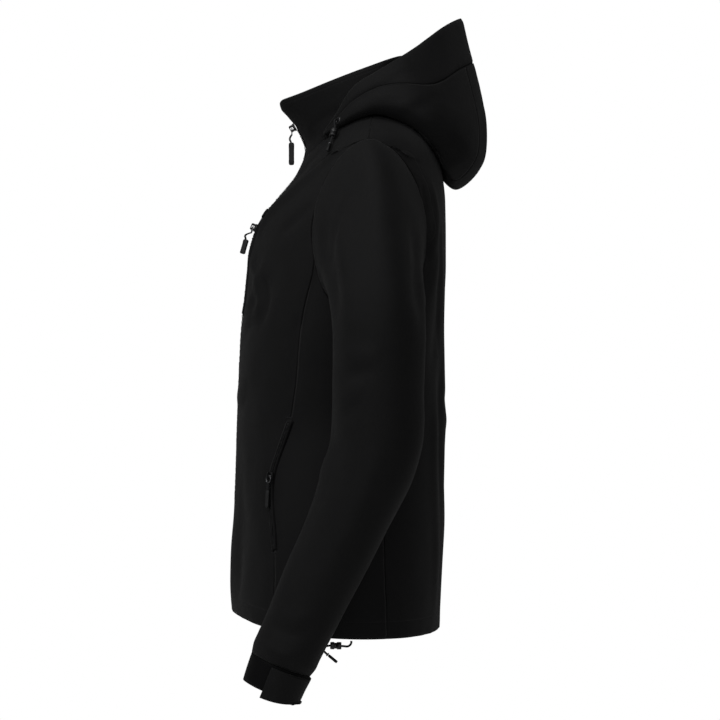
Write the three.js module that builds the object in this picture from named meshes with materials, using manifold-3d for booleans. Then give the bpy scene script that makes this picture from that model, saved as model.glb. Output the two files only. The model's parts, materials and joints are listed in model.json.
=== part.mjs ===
// Softshell jacket with a stand collar and a hood that hangs behind the neck.
// A woman's medium, in the shape that it keeps when it is worn, open at neck, hem and cuffs.
// Millimetres, +Z up, +X the wearer's left, -Y the front.
// The origin is on the mid plane, level with the two points where the shoulders meet the neck.

import * as THREE from 'three';
import { mergeVertices } from 'three/addons/utils/BufferGeometryUtils.js';
import Module from 'manifold-3d';

// Cloth walls and the space left at each seam.
const CLOTH = 1.8;
const COLLAR_CLOTH = 2.4;
const SEAM_GAP = 0.3;

// How finely the panels are divided.
const FRONT_COLUMNS = 10;
const BACK_COLUMNS = 9;
const SIDE_COLUMNS = 6;
const ROWS_TO_ARMHOLE = 14;
const ROWS_ARMHOLE = 7;
const ROWS_SHOULDER = 4;

// The centre-front zip lies between the fronts.
const ZIP_HALF_WIDTH = 4.6;

// Neck ring seen from above.
const NECK = { halfWidth: 73, centreY: 4, frontDepth: 85, backDepth: 46 };

// Armhole seen from the side: centre, reach each way and how square its corners are.
const ARMHOLE = {
  y: -1, z: -158, front: 67.5, back: 67.5, up: 110, down: 102, upPower: 1.8, downPower: 2.1,
};
const FRONT_NOTCH_Z = -192;
const BACK_NOTCH_Z = -205;

/** Makes a list of rows with named columns. */
function table(columns, rows) {
  return rows.map((row) => Object.fromEntries(columns.map((name, i) => [name, row[i]])));
}

// Level sections of the body, from the neck down to the hem.
const BODY = table(
  ['z', 'halfWidth', 'front', 'back', 'widest', 'frontPower', 'backPower'],
  [
    [12, 40, -30, 46, 6, 1.5, 2.0],
    [0, 73, -40, 56, 4, 1.5, 2.0],
    [-20, 118, -55, 68, 4, 1.45, 2.0],
    [-40, 166, -68, 78, 2, 1.4, 2.1],
    [-57, 187, -81, 84, 0, 1.45, 2.25],
    [-78, 191, -91, 89, -1, 1.6, 2.45],
    [-100, 192, -109, 92, -3, 1.8, 2.7],
    [-130, 191, -134, 93, -6, 1.95, 2.9],
    [-163, 190, -147, 93, -8, 2.1, 3.0],
    [-200, 189, -152, 93, -12, 2.2, 2.9],
    [-260, 186, -158, 91, -18, 2.3, 2.7],
    [-320, 177, -162, 91, -25, 2.3, 2.5],
    [-380, 170, -164, 91, -30, 2.3, 2.4],
    [-440, 176, -166, 90, -35, 2.3, 2.4],
    [-520, 190, -168, 90, -38, 2.3, 2.4],
    [-600, 199, -170, 87, -40, 2.3, 2.4],
    [-650, 202, -171, 86, -40, 2.3, 2.4],
  ],
);

// Height of the hem, by share of the way round from the centre front to the centre back.
const HEM = table(['share', 'z'], [
  [0, -611], [0.2, -612.5], [0.36, -621], [0.52, -629], [0.8, -631], [1, -629],
]);

// Panel seams seen from the side, from the hem up to the armhole.
const FRONT_SEAM = table(['z', 'y'], [
  [-640, -113], [-587, -113], [-543, -112], [-505, -114], [-470, -117], [-441, -115],
  [-417, -109], [-400, -102], [-376, -94], [-329, -87], [-283, -84], [-247, -79], [-218, -71],
]);
const BACK_SEAM = table(['z', 'y'], [
  [-640, 20], [-607, 19], [-530, 16], [-420, 14], [-330, 22], [-260, 40],
]);

// Sleeve rings from the upper arm to the cuff seam: centre, half widths and forward lean.
const SLEEVE = table(['x', 'y', 'z', 'across', 'deep', 'lean'], [
  [243, 9, -285, 55, 52, 0],
  [245, 9, -318, 54.5, 52, 0],
  [246, 9, -350, 54, 52, 1],
  [246, 8, -385, 53, 53, 4],
  [246, 3, -415, 52, 52.5, 10],
  [246, -6, -443, 50, 50, 18],
  [246, -19, -470, 48, 47.5, 24],
  [247, -38, -514, 44.5, 44.5, 26],
  [248, -59, -559, 42, 42, 26],
  [248, -78, -601, 40, 39.8, 25],
  [248, -92, -631, 38.8, 38.6, 24],
  [248, -97, -642, 38.6, 38.6, 23],
  [248, -101, -651, 36.6, 36.4, 22],
]);
const CUFF = table(['x', 'y', 'z', 'across', 'deep', 'lean'], [
  [248, -101.2, -651.4, 36.2, 36, 22],
  [248, -108, -667, 35.4, 35.2, 22],
  [248, -113.6, -681, 34.4, 34.2, 22],
]);
const CAP_ROWS = 8;

// Where the sleeve seams start on the armhole ring, counted forward from the shoulder point.
const SLEEVE_INNER_SEAM = 9;
const SLEEVE_BACK_SEAM = 14;

// Top edge of the collar, by clock angle from the centre front, and how far its middle sinks in.
const COLLAR = table(['angle', 'x', 'y', 'z', 'sunk'], [
  [0, 15, -110.5, 10, 8], [25, 36, -93, 17, 7], [50, 57, -62, 28, 5], [75, 66, -27, 41, 3],
  [90, 68, -2, 50, 2], [115, 63, 22, 59, 2], [145, 41, 39, 66, 2], [180, 0, 46, 69, 2],
]);
const COLLAR_HEIGHTS = [0, 0.2, 0.4, 0.6, 0.8, 1];
const SLIDER_ROW = 3;

// The hood hangs in a pouch. By clock angle round the neck: where it leaves the shoulders,
// the bottom of the pouch, its outer belly and the edge of the face opening.
const HOOD = table(
  ['angle', 'footY', 'footZ', 'lobeX', 'lobeY', 'lobeZ',
    'bellyX', 'bellyY', 'bellyZ', 'edgeX', 'edgeY', 'edgeZ'],
  [
    [50, -54, -36, 66, -56, -35, 69, -56, -31, 68, -55, -25],
    [62, -39, -27, 83, -39, -26, 88, -38, -19, 82, -38, -2],
    [75, -22, -20, 99, -22, -19, 107, -20, -5, 95, -22, 23],
    [100, 12, -15, 116, 14, -13, 124, 16, 8, 106, 15, 45],
    [125, 50, -30, 116, 62, -36, 124, 72, -2, 97, 50, 67],
    [150, 78, -62, 74, 98, -78, 82, 121, -24, 62, 90, 99],
    [180, 90, -80, 0, 107, -95, 0, 145, -24, 0, 115, 117],
  ],
);
const HOOD_CLEARANCE = 3.5;
const HOOD_SIDE_COLUMNS = 10;
const HOOD_CROWN_COLUMNS = 3;
const HOOD_ROWS = [3, 2, 2, 2, 3, 2];
const BRIM_FIRST_ROW = 12;
const BRIM = { width: 54, mostShare: 0.6 };
const POUCH_HEEL = { at: 0.45, bulge: 0.18 };

// Cuff strap: clock angles it spans, its space and wall over the cuff, and how far it hangs.
const STRAP = { from: 14, to: -122, columns: 9, rise: 0.5, cloth: 1.6, top: 3.5, hang: 8 };

// Zips: width and wall of the visible tape, and how high it lies on a panel.
const TAPE = { width: 11, cloth: 1.3, rise: 0.8 };
const CHEST_ZIP = { topX: 60, topZ: -138, footX: 66, footZ: -252, rows: 12, sliderZ: -147 };
const GARAGE = { width: 13, height: 13, cloth: 2.2, x: 60, z: -129, rise: 1.2 };
const HAND_ZIP = { firstRow: 3, lastRow: 8, sliderRow: 5.8 };

// Zip slider, its bridge and the pull that swings in it.
const SLIDER = { width: 7.8, height: 9.6, depth: 2.4, rise: 0.35 };
const BRIDGE = { width: 1.6, height: 8.4, depth: 5.2, eye: 3, wall: 1.1 };
const PULL = {
  ringWidth: 7, ringHeight: 8.6, bar: 1.3, cordRadius: 1.2, cordLength: 11,
  gripWidth: 6, gripDepth: 3.4,
};
const PULLS = table(['name', 'length', 'tilt'], [
  ['main', 46, 0], ['chest', 36, 16], ['hand', 38, 4],
]);

// Draw cords, as points chosen along each route. Hood: height over the shoulder. Hem: beside the hip.
const CORD_RADIUS = 1.25;
const HOOD_EYELET = { row: 9.6, column: 1.1, outer: 4.4, inner: 1.9, height: 1.2, rise: 0.7 };
const HOOD_CORD = table(['x', 'y', 'rise'], [
  [96, -42, 12], [101, -43.5, 9.5], [106, -45, 8], [111, -46, 7.4], [116, -47, 7], [120, -48, 6.8],
]);
const HEM_CORD_X = 200;
const HEM_CORD = table(['y', 'z'], [
  [-22, -631.1], [-22.4, -634.2], [-25.5, -637.2], [-31, -637.2], [-37, -636.7], [-43, -636.6],
  [-49, -636.8], [-53.2, -638.4], [-54.4, -641.4], [-52.2, -644.6], [-48.6, -647.6],
]);
const LOCK = { length: 13, radius: 4.3, waist: 3.4 };
const TOGGLE = { length: 13, width: 4.4, depth: 3 };

// Largest folds of the body, as lengths along the cloth from the centre front and heights.
const BODY_FOLDS = table(
  ['fromAlong', 'fromZ', 'toAlong', 'toZ', 'width', 'height'],
  [
    [60, -165, 95, -260, 16, 2.5],
    [150, -205, 118, -262, 11, -3],
    [120, -300, 60, -345, 18, 2],
    [70, -510, 40, -600, 17, 3],
    [112, -470, 92, -590, 14, -2.5],
    [440, -250, 452, -600, 22, 3],
    [400, -235, 405, -380, 16, -3],
    [368, -150, 385, -215, 11, 3],
    [345, -185, 350, -262, 9, -3],
  ],
);

// Largest folds of a sleeve, as clock angles round it and rows along it.
const SLEEVE_FOLDS = table(
  ['fromAngle', 'fromRow', 'toAngle', 'toRow', 'angleWidth', 'rowWidth', 'height'],
  [
    [78, 2, 62, 7, 15, 1.2, -5],
    [55, 3, 30, 8, 16, 1.5, 3],
    [285, 3, 300, 7, 14, 1.2, -4],
    [262, 4, 270, 9, 16, 1.4, 3],
    [90, 11.2, 40, 12.5, 20, 0.8, -4],
    [110, 12.6, 60, 13.6, 22, 0.7, 3],
    [100, 14, 50, 15, 20, 0.7, -3],
    [300, 18.3, 60, 18.3, 60, 0.8, 2],
  ],
);

/** Returns a smooth function through one column of a table, read against another column. */
function curveThrough(rows, from, to) {
  const sorted = [...rows].sort((a, b) => a[from] - b[from]);
  const slope = (i) => {
    const low = sorted[Math.max(i - 1, 0)];
    const high = sorted[Math.min(i + 1, sorted.length - 1)];
    return (high[to] - low[to]) / (high[from] - low[from]);
  };
  return (value) => {
    let i = sorted.findIndex((row) => row[from] > value) - 1;
    if (i === -2) i = sorted.length - 2;
    i = Math.max(i, 0);
    const low = sorted[i];
    const high = sorted[i + 1];
    const span = high[from] - low[from];
    const t = THREE.MathUtils.clamp((value - low[from]) / span, 0, 1);
    const rise = high[to] - low[to];
    const startBend = slope(i) * span - rise;
    const endBend = rise - slope(i + 1) * span;
    return low[to] + rise * t + t * (1 - t) * (startBend * (1 - t) + endBend * t);
  };
}

const bodyColumns = Object.fromEntries(
  ['halfWidth', 'front', 'back', 'widest', 'frontPower', 'backPower']
    .map((name) => [name, curveThrough(BODY, 'z', name)]),
);
const SECTION_STEPS = 72;
const sections = new Map();

/** The point of a level section at one turn from the centre front, 0, to the centre back, pi. */
function sectionPoint(section, turn) {
  const ahead = turn < Math.PI / 2;
  const depth = ahead ? section.widest - section.front : section.back - section.widest;
  const power = ahead ? section.frontPower : section.backPower;
  const across = (Math.abs(Math.sin(turn)) / section.halfWidth) ** power;
  const along = (Math.abs(Math.cos(turn)) / depth) ** power;
  const reach = (across + along) ** (-1 / power);
  return { x: reach * Math.sin(turn), y: section.widest - reach * Math.cos(turn) };
}

/** A level section with the length of cloth from the centre front to each of its points. */
function sectionAt(z) {
  const key = z.toFixed(4);
  if (!sections.has(key)) {
    const section = { z, lengths: [0] };
    for (const name of Object.keys(bodyColumns)) section[name] = bodyColumns[name](z);
    let last = sectionPoint(section, 0);
    for (let i = 1; i <= SECTION_STEPS; i += 1) {
      const next = sectionPoint(section, (Math.PI * i) / SECTION_STEPS);
      section.lengths.push(section.lengths[i - 1] + Math.hypot(next.x - last.x, next.y - last.y));
      last = next;
    }
    section.total = section.lengths[SECTION_STEPS];
    sections.set(key, section);
  }
  return sections.get(key);
}

/** A point of the smooth body at a share of the way from the centre front to the centre back. */
function bodyPoint(share, z) {
  const section = sectionAt(z);
  const length = THREE.MathUtils.clamp(share, 0, 1) * section.total;
  let i = section.lengths.findIndex((value) => value > length) - 1;
  if (i < 0) i = SECTION_STEPS - 1;
  const part = (length - section.lengths[i]) / (section.lengths[i + 1] - section.lengths[i]);
  const point = sectionPoint(section, (Math.PI * (i + part)) / SECTION_STEPS);
  return new THREE.Vector3(point.x, point.y, z);
}

/** The direction that points straight out of the smooth body. */
function bodyNormal(share, z) {
  const stepShare = 0.004;
  const stepZ = 1.5;
  const low = Math.max(share - stepShare, 0);
  const high = Math.min(share + stepShare, 1);
  const round = bodyPoint(high, z).sub(bodyPoint(low, z));
  const up = bodyPoint(share, z + stepZ).sub(bodyPoint(share, z - stepZ));
  const normal = round.cross(up).normalize();
  if (share < stepShare || share > 1 - stepShare) normal.x = 0;
  return normal.normalize();
}

/** The value between two limits where a rising function reaches zero. */
function solve(low, high, rising) {
  let [from, to] = [low, high];
  for (let i = 0; i < 40; i += 1) {
    const middle = (from + to) / 2;
    if (rising(middle) < 0) from = middle;
    else to = middle;
  }
  return (from + to) / 2;
}

/** The share at which a level section reaches a given y. */
function shareAtY(z, y) {
  return solve(0, 1, (share) => bodyPoint(share, z).y - y);
}

/** The share at which a level section first reaches a given x. */
function shareAtX(z, x) {
  return solve(0, 0.5, (share) => bodyPoint(share, z).x - x);
}

/** The height at which the body passes through a point seen from above. */
function heightAbove(x, y) {
  return solve(-140, 12, (z) => {
    const section = sectionAt(z);
    const ahead = y < section.widest;
    const depth = ahead ? section.widest - section.front : section.back - section.widest;
    const power = ahead ? section.frontPower : section.backPower;
    return (x / section.halfWidth) ** power + (Math.abs(y - section.widest) / depth) ** power - 1;
  });
}

/** Height of soft folds, each a rounded ridge or trough along a line that fades at its ends. */
function foldHeight(folds, distance) {
  let height = 0;
  for (const fold of folds) {
    const { across, along } = distance(fold);
    const fade = THREE.MathUtils.smoothstep(1 - Math.abs(2 * along - 1), -0.25, 0.5);
    height += fold.height * Math.exp(-across * across) * fade;
  }
  return height;
}

/** Where a point lies against a line: distance across in widths, and place along it. */
function againstLine(px, py, ax, ay, bx, by, widthX, widthY) {
  const dx = (bx - ax) / widthX;
  const dy = (by - ay) / widthY;
  const qx = (px - ax) / widthX;
  const qy = (py - ay) / widthY;
  const along = (qx * dx + qy * dy) / (dx * dx + dy * dy);
  const held = THREE.MathUtils.clamp(along, 0, 1);
  return { across: Math.hypot(qx - held * dx, qy - held * dy), along };
}

/** Pushes points out along their directions by the height of the folds. */
function raise(points, normals, heightAt) {
  return points.map((row, i) => row.map((point, j) => (
    point.clone().addScaledVector(normals[i][j], heightAt(i, j))
  )));
}

/** A wall of cloth: a grid of outer points and the inner points behind them. */
function wall(outer, normals, thickness, closed = false) {
  const inner = outer.map((row, i) => row.map((point, j) => (
    point.clone().addScaledVector(normals[i][j], -thickness)
  )));
  return { outer, inner, normals, closed };
}

/** Directions that point out of a grid of points, worked out from its neighbours. */
function gridNormals(points, closed) {
  const columns = points[0].length;
  const beside = (j) => (closed ? (j + columns) % columns : THREE.MathUtils.clamp(j, 0, columns - 1));
  const above = (i) => THREE.MathUtils.clamp(i, 0, points.length - 1);
  return points.map((row, i) => row.map((point, j) => {
    const round = row[beside(j + 1)].clone().sub(row[beside(j - 1)]);
    const up = points[above(i + 1)][j].clone().sub(points[above(i - 1)][j]);
    return round.cross(up).normalize();
  }));
}

/** The same wall on the wearer's other side. */
function mirrored(cloth) {
  const turn = (rows) => rows.map((row) => row.map((p) => new THREE.Vector3(-p.x, p.y, p.z)));
  return {
    outer: turn(cloth.outer),
    inner: turn(cloth.inner),
    normals: turn(cloth.normals),
    closed: cloth.closed,
    flipped: !cloth.flipped,
  };
}

/** Closed geometry of those squares of a wall that belong to one piece, drawn in at its edges. */
function pieceGeometry(cloth, belongs = () => true, drawIn = SEAM_GAP / 2) {
  const columns = cloth.outer[0].length;
  const rowCount = cloth.outer.length - 1;
  const squareCount = cloth.closed ? columns : columns - 1;
  const column = (j) => (cloth.closed ? (j + columns) % columns : j);
  const has = (i, j) => {
    const inside = cloth.closed || (j >= 0 && j < squareCount);
    return i >= 0 && i < rowCount && inside && belongs(i, column(j));
  };
  const corners = new Map();
  const corner = (i, j) => {
    const key = i * columns + column(j);
    if (!corners.has(key)) corners.set(key, { i, j: column(j), edges: [] });
    return corners.get(key);
  };
  const faces = [];
  const edges = [];
  for (let i = 0; i < rowCount; i += 1) {
    for (let j = 0; j < squareCount; j += 1) {
      if (!has(i, j)) continue;
      const ring = [corner(i, j), corner(i, j + 1), corner(i + 1, j + 1), corner(i + 1, j)];
      const open = [!has(i - 1, j), !has(i, j + 1), !has(i + 1, j), !has(i, j - 1)];
      const turn = j >= (cloth.middle ?? columns) ? 1 : 0;
      const [a, b, c, d] = [0, 1, 2, 3].map((n) => ring[(n + turn) % 4]);
      faces.push([a, b, c], [a, c, d]);
      ring.forEach((from, side) => {
        if (!open[side]) return;
        const edge = [from, ring[(side + 1) % 4]];
        edge.forEach((end) => end.edges.push(edge));
        edges.push(edge);
      });
    }
  }
  const positions = [];
  const place = (side) => {
    for (const item of corners.values()) {
      const point = cloth[side][item.i][item.j].clone();
      const [first, second] = item.edges.map(([from, to]) => {
        const way = cloth[side][to.i][to.j].clone().sub(cloth[side][from.i][from.j]);
        const inward = cloth.normals[item.i][item.j].clone().cross(way).normalize();
        return inward.multiplyScalar(cloth.flipped ? -1 : 1);
      });
      if (first) {
        const square = Math.max(1 + first.dot(second), 0.4);
        point.addScaledVector(first.clone().add(second), drawIn / square);
      }
      item[side] = positions.length / 3;
      positions.push(point.x, point.y, point.z);
    }
  };
  place('outer');
  place('inner');
  const index = [];
  const triangle = (a, b, c) => index.push(...(cloth.flipped ? [a, c, b] : [a, b, c]));
  for (const [a, b, c] of faces) {
    triangle(a.outer, b.outer, c.outer);
    triangle(a.inner, c.inner, b.inner);
  }
  for (const [a, b] of edges) {
    triangle(b.outer, a.outer, a.inner);
    triangle(b.outer, a.inner, b.inner);
  }
  const geometry = new THREE.BufferGeometry();
  geometry.setAttribute('position', new THREE.Float32BufferAttribute(positions, 3));
  geometry.setIndex(index);
  return geometry;
}

const jacket = new THREE.Group();

/** Adds one named piece with a material of its own. */
function addPiece(name, geometry, finish) {
  const mesh = new THREE.Mesh(geometry, new THREE.MeshStandardMaterial(finish));
  mesh.name = name;
  jacket.add(mesh);
  return mesh;
}

const SOFTSHELL = { color: 0x161617, roughness: 0.85, metalness: 0 };
const TAPE_BLACK = { color: 0x0e0e0f, roughness: 0.7, metalness: 0 };
const MOULDED = { color: 0x2a2a2c, roughness: 0.45, metalness: 0 };
const PAINTED_METAL = { color: 0x3c3c3e, roughness: 0.35, metalness: 0.6 };
const CORD_BLACK = { color: 0x141414, roughness: 0.8, metalness: 0 };

const hemHeight = curveThrough(HEM, 'share', 'z');
const frontSeamY = curveThrough(FRONT_SEAM, 'z', 'y');
const backSeamY = curveThrough(BACK_SEAM, 'z', 'y');

/** Values that step evenly through a list of stops, with a number of steps to each next stop. */
function steps(stops, counts) {
  const values = [stops[0]];
  counts.forEach((count, part) => {
    for (let i = 1; i <= count; i += 1) {
      values.push(THREE.MathUtils.lerp(stops[part], stops[part + 1], i / count));
    }
  });
  return values;
}

/** A point of the armhole, by its clock angle from the shoulder point forward. */
function armholePoint(angle) {
  const high = Math.cos(angle) > 0;
  const power = 2 / (high ? ARMHOLE.upPower : ARMHOLE.downPower);
  const depth = Math.sin(angle) > 0 ? -ARMHOLE.front : ARMHOLE.back;
  const height = high ? ARMHOLE.up : -ARMHOLE.down;
  const y = ARMHOLE.y + depth * Math.abs(Math.sin(angle)) ** power;
  const z = ARMHOLE.z + height * Math.abs(Math.cos(angle)) ** power;
  return { share: shareAtY(z, y), z };
}

/** The clock angle at which the lower half of the armhole is at a given height. */
function armholeAngle(z) {
  return Math.PI - Math.acos(((ARMHOLE.z - z) / ARMHOLE.down) ** (ARMHOLE.downPower / 2));
}

const armholeAngles = steps(
  [0, armholeAngle(FRONT_NOTCH_Z), 2 * Math.PI - armholeAngle(BACK_NOTCH_Z), 2 * Math.PI],
  [ROWS_ARMHOLE, SIDE_COLUMNS, ROWS_ARMHOLE],
);
const armhole = armholeAngles.map(armholePoint);
const frontNotch = ROWS_ARMHOLE;
const backNotch = ROWS_ARMHOLE + SIDE_COLUMNS;

/** A point of the neck ring or of a wider one, by its clock angle from the centre front. */
function neckPoint(angle, wider = 0) {
  const depth = wider + (Math.cos(angle) > 0 ? NECK.frontDepth : NECK.backDepth);
  const x = (NECK.halfWidth + wider) * Math.sin(angle);
  const y = NECK.centreY - depth * Math.cos(angle);
  const z = heightAbove(x, y);
  return { share: x < 1 ? Math.round(angle / Math.PI) : shareAtY(z, y), z };
}

/** A grid of shares and heights between a lower, an upper, a near and a far edge. */
function spreadBetween(lower, upper, near, far) {
  const rows = near.length - 1;
  const columns = lower.length - 1;
  const hold = 2.5;
  return near.map((start, i) => lower.map((foot, j) => {
    const u = j / columns;
    const v = i / rows;
    const mix = (name) => {
      const low = foot[name] - THREE.MathUtils.lerp(lower[0][name], lower[columns][name], u);
      const high = upper[j][name] - THREE.MathUtils.lerp(upper[0][name], upper[columns][name], u);
      const level = THREE.MathUtils.lerp(start[name], far[i][name], u);
      return level + (1 - v) ** hold * low + v ** hold * high;
    };
    return { share: mix('share'), z: mix('z') };
  }));
}

/** Cloth of the body on a grid of shares and heights, with its folds. */
function bodyCloth(grid) {
  const points = grid.map((row) => row.map(({ share, z }) => bodyPoint(share, z)));
  const normals = grid.map((row) => row.map(({ share, z }) => bodyNormal(share, z)));
  const height = (i, j) => {
    const { share, z } = grid[i][j];
    const along = share * sectionAt(z).total;
    return foldHeight(BODY_FOLDS, (fold) => againstLine(
      along, z, fold.fromAlong, fold.fromZ, fold.toAlong, fold.toZ, fold.width, fold.width,
    ));
  };
  return wall(raise(points, normals, height), normals, CLOTH);
}

/** Level steps of the hem between two shares. */
function hemBetween(from, to, columns) {
  return steps([from, to], [columns]).map((share) => ({ share, z: hemHeight(share) }));
}

/** A panel seam from the hem up to the armhole. */
function seamUp(seamY, notch) {
  const foot = { z: HEM[2].z };
  foot.share = shareAtY(foot.z, seamY(foot.z));
  foot.z = hemHeight(foot.share);
  const rows = steps([foot.z, notch.z], [ROWS_TO_ARMHOLE]).map((z) => (
    { share: shareAtY(z, seamY(z)), z }
  ));
  rows[ROWS_TO_ARMHOLE] = notch;
  const near = rows[ROWS_TO_ARMHOLE - 1];
  const below = rows[ROWS_TO_ARMHOLE - 2];
  near.share = (near.share + (notch.share + below.share) / 2) / 2;
  return rows;
}

const frontSeam = seamUp(frontSeamY, armhole[frontNotch]);
const backSeam = seamUp(backSeamY, armhole[backNotch]);

/** The shoulder seam from the shoulder point up to the neck. */
const neckTop = neckPoint(Math.PI / 2);
const shoulderSeam = steps([0, 1], [ROWS_SHOULDER]).slice(1).map((part) => {
  const z = THREE.MathUtils.lerp(armhole[0].z, neckTop.z, part);
  return { share: shareAtY(z, THREE.MathUtils.lerp(ARMHOLE.y, NECK.centreY, part)), z };
});

const zipAngle = Math.asin((ZIP_HALF_WIDTH + SEAM_GAP) / NECK.halfWidth);
const frontNeck = steps([zipAngle, Math.PI / 2], [FRONT_COLUMNS]).map((angle) => neckPoint(angle));
const backNeck = steps([Math.PI / 2, Math.PI], [BACK_COLUMNS]).map((angle) => neckPoint(angle));
const bodyRows = [ROWS_TO_ARMHOLE, ROWS_ARMHOLE, ROWS_SHOULDER];

/** The left front, from the zip to the front seam, the armhole and the shoulder seam. */
function frontGrid() {
  const heights = steps([HEM[0].z, -203, -106, frontNeck[0].z], bodyRows);
  const near = heights.map((z) => ({ share: shareAtX(z, ZIP_HALF_WIDTH + SEAM_GAP), z }));
  const far = [...frontSeam, ...armhole.slice(0, frontNotch).reverse(), ...shoulderSeam];
  const lower = hemBetween(near[0].share, far[0].share, FRONT_COLUMNS);
  return spreadBetween(lower, frontNeck, near, far);
}

/** The left half of the back, from the back seam round to the centre back. */
function backGrid() {
  const near = [...backSeam, ...armhole.slice(backNotch + 1), ...shoulderSeam];
  const last = backNeck[BACK_COLUMNS];
  const far = steps([HEM[4].z, -215, -108, last.z], bodyRows).map((z) => ({ share: 1, z }));
  const lower = hemBetween(near[0].share, 1, BACK_COLUMNS);
  return spreadBetween(lower, backNeck, near, far);
}

/** The left side panel, from the front seam to the back seam, up to the armhole. */
function sideGrid() {
  const lower = hemBetween(frontSeam[0].share, backSeam[0].share, SIDE_COLUMNS);
  const upper = armhole.slice(frontNotch, backNotch + 1);
  return spreadBetween(lower, upper, frontSeam, backSeam);
}

/** A wall that goes on past its last column as the mirror of itself. */
function doubled(cloth) {
  const other = mirrored(cloth);
  const join = (name) => cloth[name].map((row, i) => (
    [...row, ...other[name][i].slice(0, -1).reverse()]
  ));
  const middle = cloth.outer[0].length - 1;
  return { outer: join('outer'), inner: join('inner'), normals: join('normals'), middle };
}

const frontCloth = bodyCloth(frontGrid());
const sideCloth = bodyCloth(sideGrid());
const backCloth = bodyCloth(backGrid());

const SIDES = [
  { side: 'left', sign: 1, of: (cloth) => cloth },
  { side: 'right', sign: -1, of: mirrored },
];

/** Adds one piece of a wall for each side of the body. */
function addPair(name, cloth, finish, belongs, drawIn) {
  for (const { side, of } of SIDES) {
    addPiece(`${name}_${side}`, pieceGeometry(of(cloth), belongs, drawIn), finish);
  }
}

addPair('front', frontCloth, SOFTSHELL);
addPair('side', sideCloth, SOFTSHELL);
addPiece('back', pieceGeometry(doubled(backCloth)), SOFTSHELL);

/** A point of a sleeve ring at a clock angle, 0 outside and a quarter turn in front. */
function ringPoint(ring, angle) {
  const lean = THREE.MathUtils.degToRad(ring.lean);
  const forward = ring.deep * Math.sin(angle);
  return new THREE.Vector3(
    ring.x + ring.across * Math.cos(angle),
    ring.y - forward * Math.cos(lean),
    ring.z + forward * Math.sin(lean),
  );
}

const clock = armholeAngles.slice(0, -1);

/** The sleeve head, curving from the armhole out and down to the first ring of the arm. */
function capPoint(k, t) {
  const angle = clock[k];
  const start = bodyPoint(armhole[k].share, armhole[k].z);
  const end = ringPoint(SLEEVE[0], angle);
  const high = (1 + Math.cos(angle)) / 2;
  const out = new THREE.Vector3(1, 0.28 * Math.sin(angle), -0.36 * Math.max(Math.cos(angle), 0));
  out.normalize().multiplyScalar(THREE.MathUtils.lerp(30, 150, high));
  const down = new THREE.Vector3(0, 0, -THREE.MathUtils.lerp(45, 250, high));
  const point = start.multiplyScalar(2 * t ** 3 - 3 * t ** 2 + 1);
  point.addScaledVector(out, t ** 3 - 2 * t ** 2 + t);
  point.addScaledVector(end, 3 * t ** 2 - 2 * t ** 3);
  return point.addScaledVector(down, t ** 3 - t ** 2);
}

/** Sleeve cloth from the armhole to the cuff seam, with its folds. */
function sleeveCloth() {
  const cap = steps([0, 1], [CAP_ROWS]).map((t) => clock.map((angle, k) => capPoint(k, t)));
  const arm = SLEEVE.slice(1).map((ring) => clock.map((angle) => ringPoint(ring, angle)));
  const points = [...cap, ...arm];
  const normals = gridNormals(points, true);
  const height = (i, k) => foldHeight(SLEEVE_FOLDS, (fold) => {
    const swing = (angle) => THREE.MathUtils.euclideanModulo(angle - fold.fromAngle + 180, 360) - 180;
    return againstLine(
      swing(THREE.MathUtils.radToDeg(clock[k])), i,
      0, fold.fromRow, swing(fold.toAngle), fold.toRow, fold.angleWidth, fold.rowWidth,
    );
  });
  return wall(raise(points, normals, height), normals, CLOTH, true);
}

const sleeve = sleeveCloth();
const onUpperSleeve = (i, k) => k >= SLEEVE_BACK_SEAM || k < SLEEVE_INNER_SEAM;
addPair('sleeve_upper', sleeve, SOFTSHELL, onUpperSleeve, SEAM_GAP);
addPair('sleeve_under', sleeve, SOFTSHELL, (i, k) => !onUpperSleeve(i, k), SEAM_GAP);

const cuffPoints = CUFF.map((ring) => clock.map((angle) => ringPoint(ring, angle)));
const cuff = wall(cuffPoints, gridNormals(cuffPoints, true), CLOTH, true);
addPair('cuff', cuff, SOFTSHELL);

/** The columns of a table as smooth functions of clock angle, level where the two halves meet. */
function columnsByAngle(rows) {
  const names = Object.keys(rows[0]).filter((name) => name !== 'angle');
  const across = Object.fromEntries(names.map((name) => {
    const sign = name.toLowerCase().endsWith('x') ? -1 : 1;
    return [name, sign * rows[rows.length - 2][name]];
  }));
  const beyond = [...rows, { ...across, angle: 360 - rows[rows.length - 2].angle }];
  return Object.fromEntries(names.map((name) => [name, curveThrough(beyond, 'angle', name)]));
}

const collarAt = columnsByAngle(COLLAR);
const neckAngles = steps([zipAngle, Math.PI / 2, Math.PI], [FRONT_COLUMNS, BACK_COLUMNS]);
const neckRing = [...frontNeck, ...backNeck.slice(1)];

/** A point of the collar, by its place round the neck and its share of the height. */
function collarPoint(j, height) {
  const angle = THREE.MathUtils.radToDeg(neckAngles[j]);
  const foot = bodyPoint(neckRing[j].share, neckRing[j].z);
  const top = new THREE.Vector3(collarAt.x(angle), collarAt.y(angle), collarAt.z(angle));
  const point = foot.clone().lerp(top, height);
  const closed = Math.max(1 - angle / 30, 0);
  const parted = THREE.MathUtils.smoothstep(height, COLLAR_HEIGHTS[SLIDER_ROW], 1.05);
  point.x += closed * (parted - height) * (top.x - foot.x);
  const centre = new THREE.Vector3(0, NECK.centreY, point.z);
  const inward = centre.sub(point).normalize();
  return point.addScaledVector(inward, Math.sin(Math.PI * height ** 0.6) * collarAt.sunk(angle));
}

const collarPoints = COLLAR_HEIGHTS.map((height) => neckAngles.map((a, j) => collarPoint(j, height)));
const collar = wall(collarPoints, gridNormals(collarPoints), COLLAR_CLOTH);
addPiece('collar', pieceGeometry(doubled(collar)), SOFTSHELL);

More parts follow.
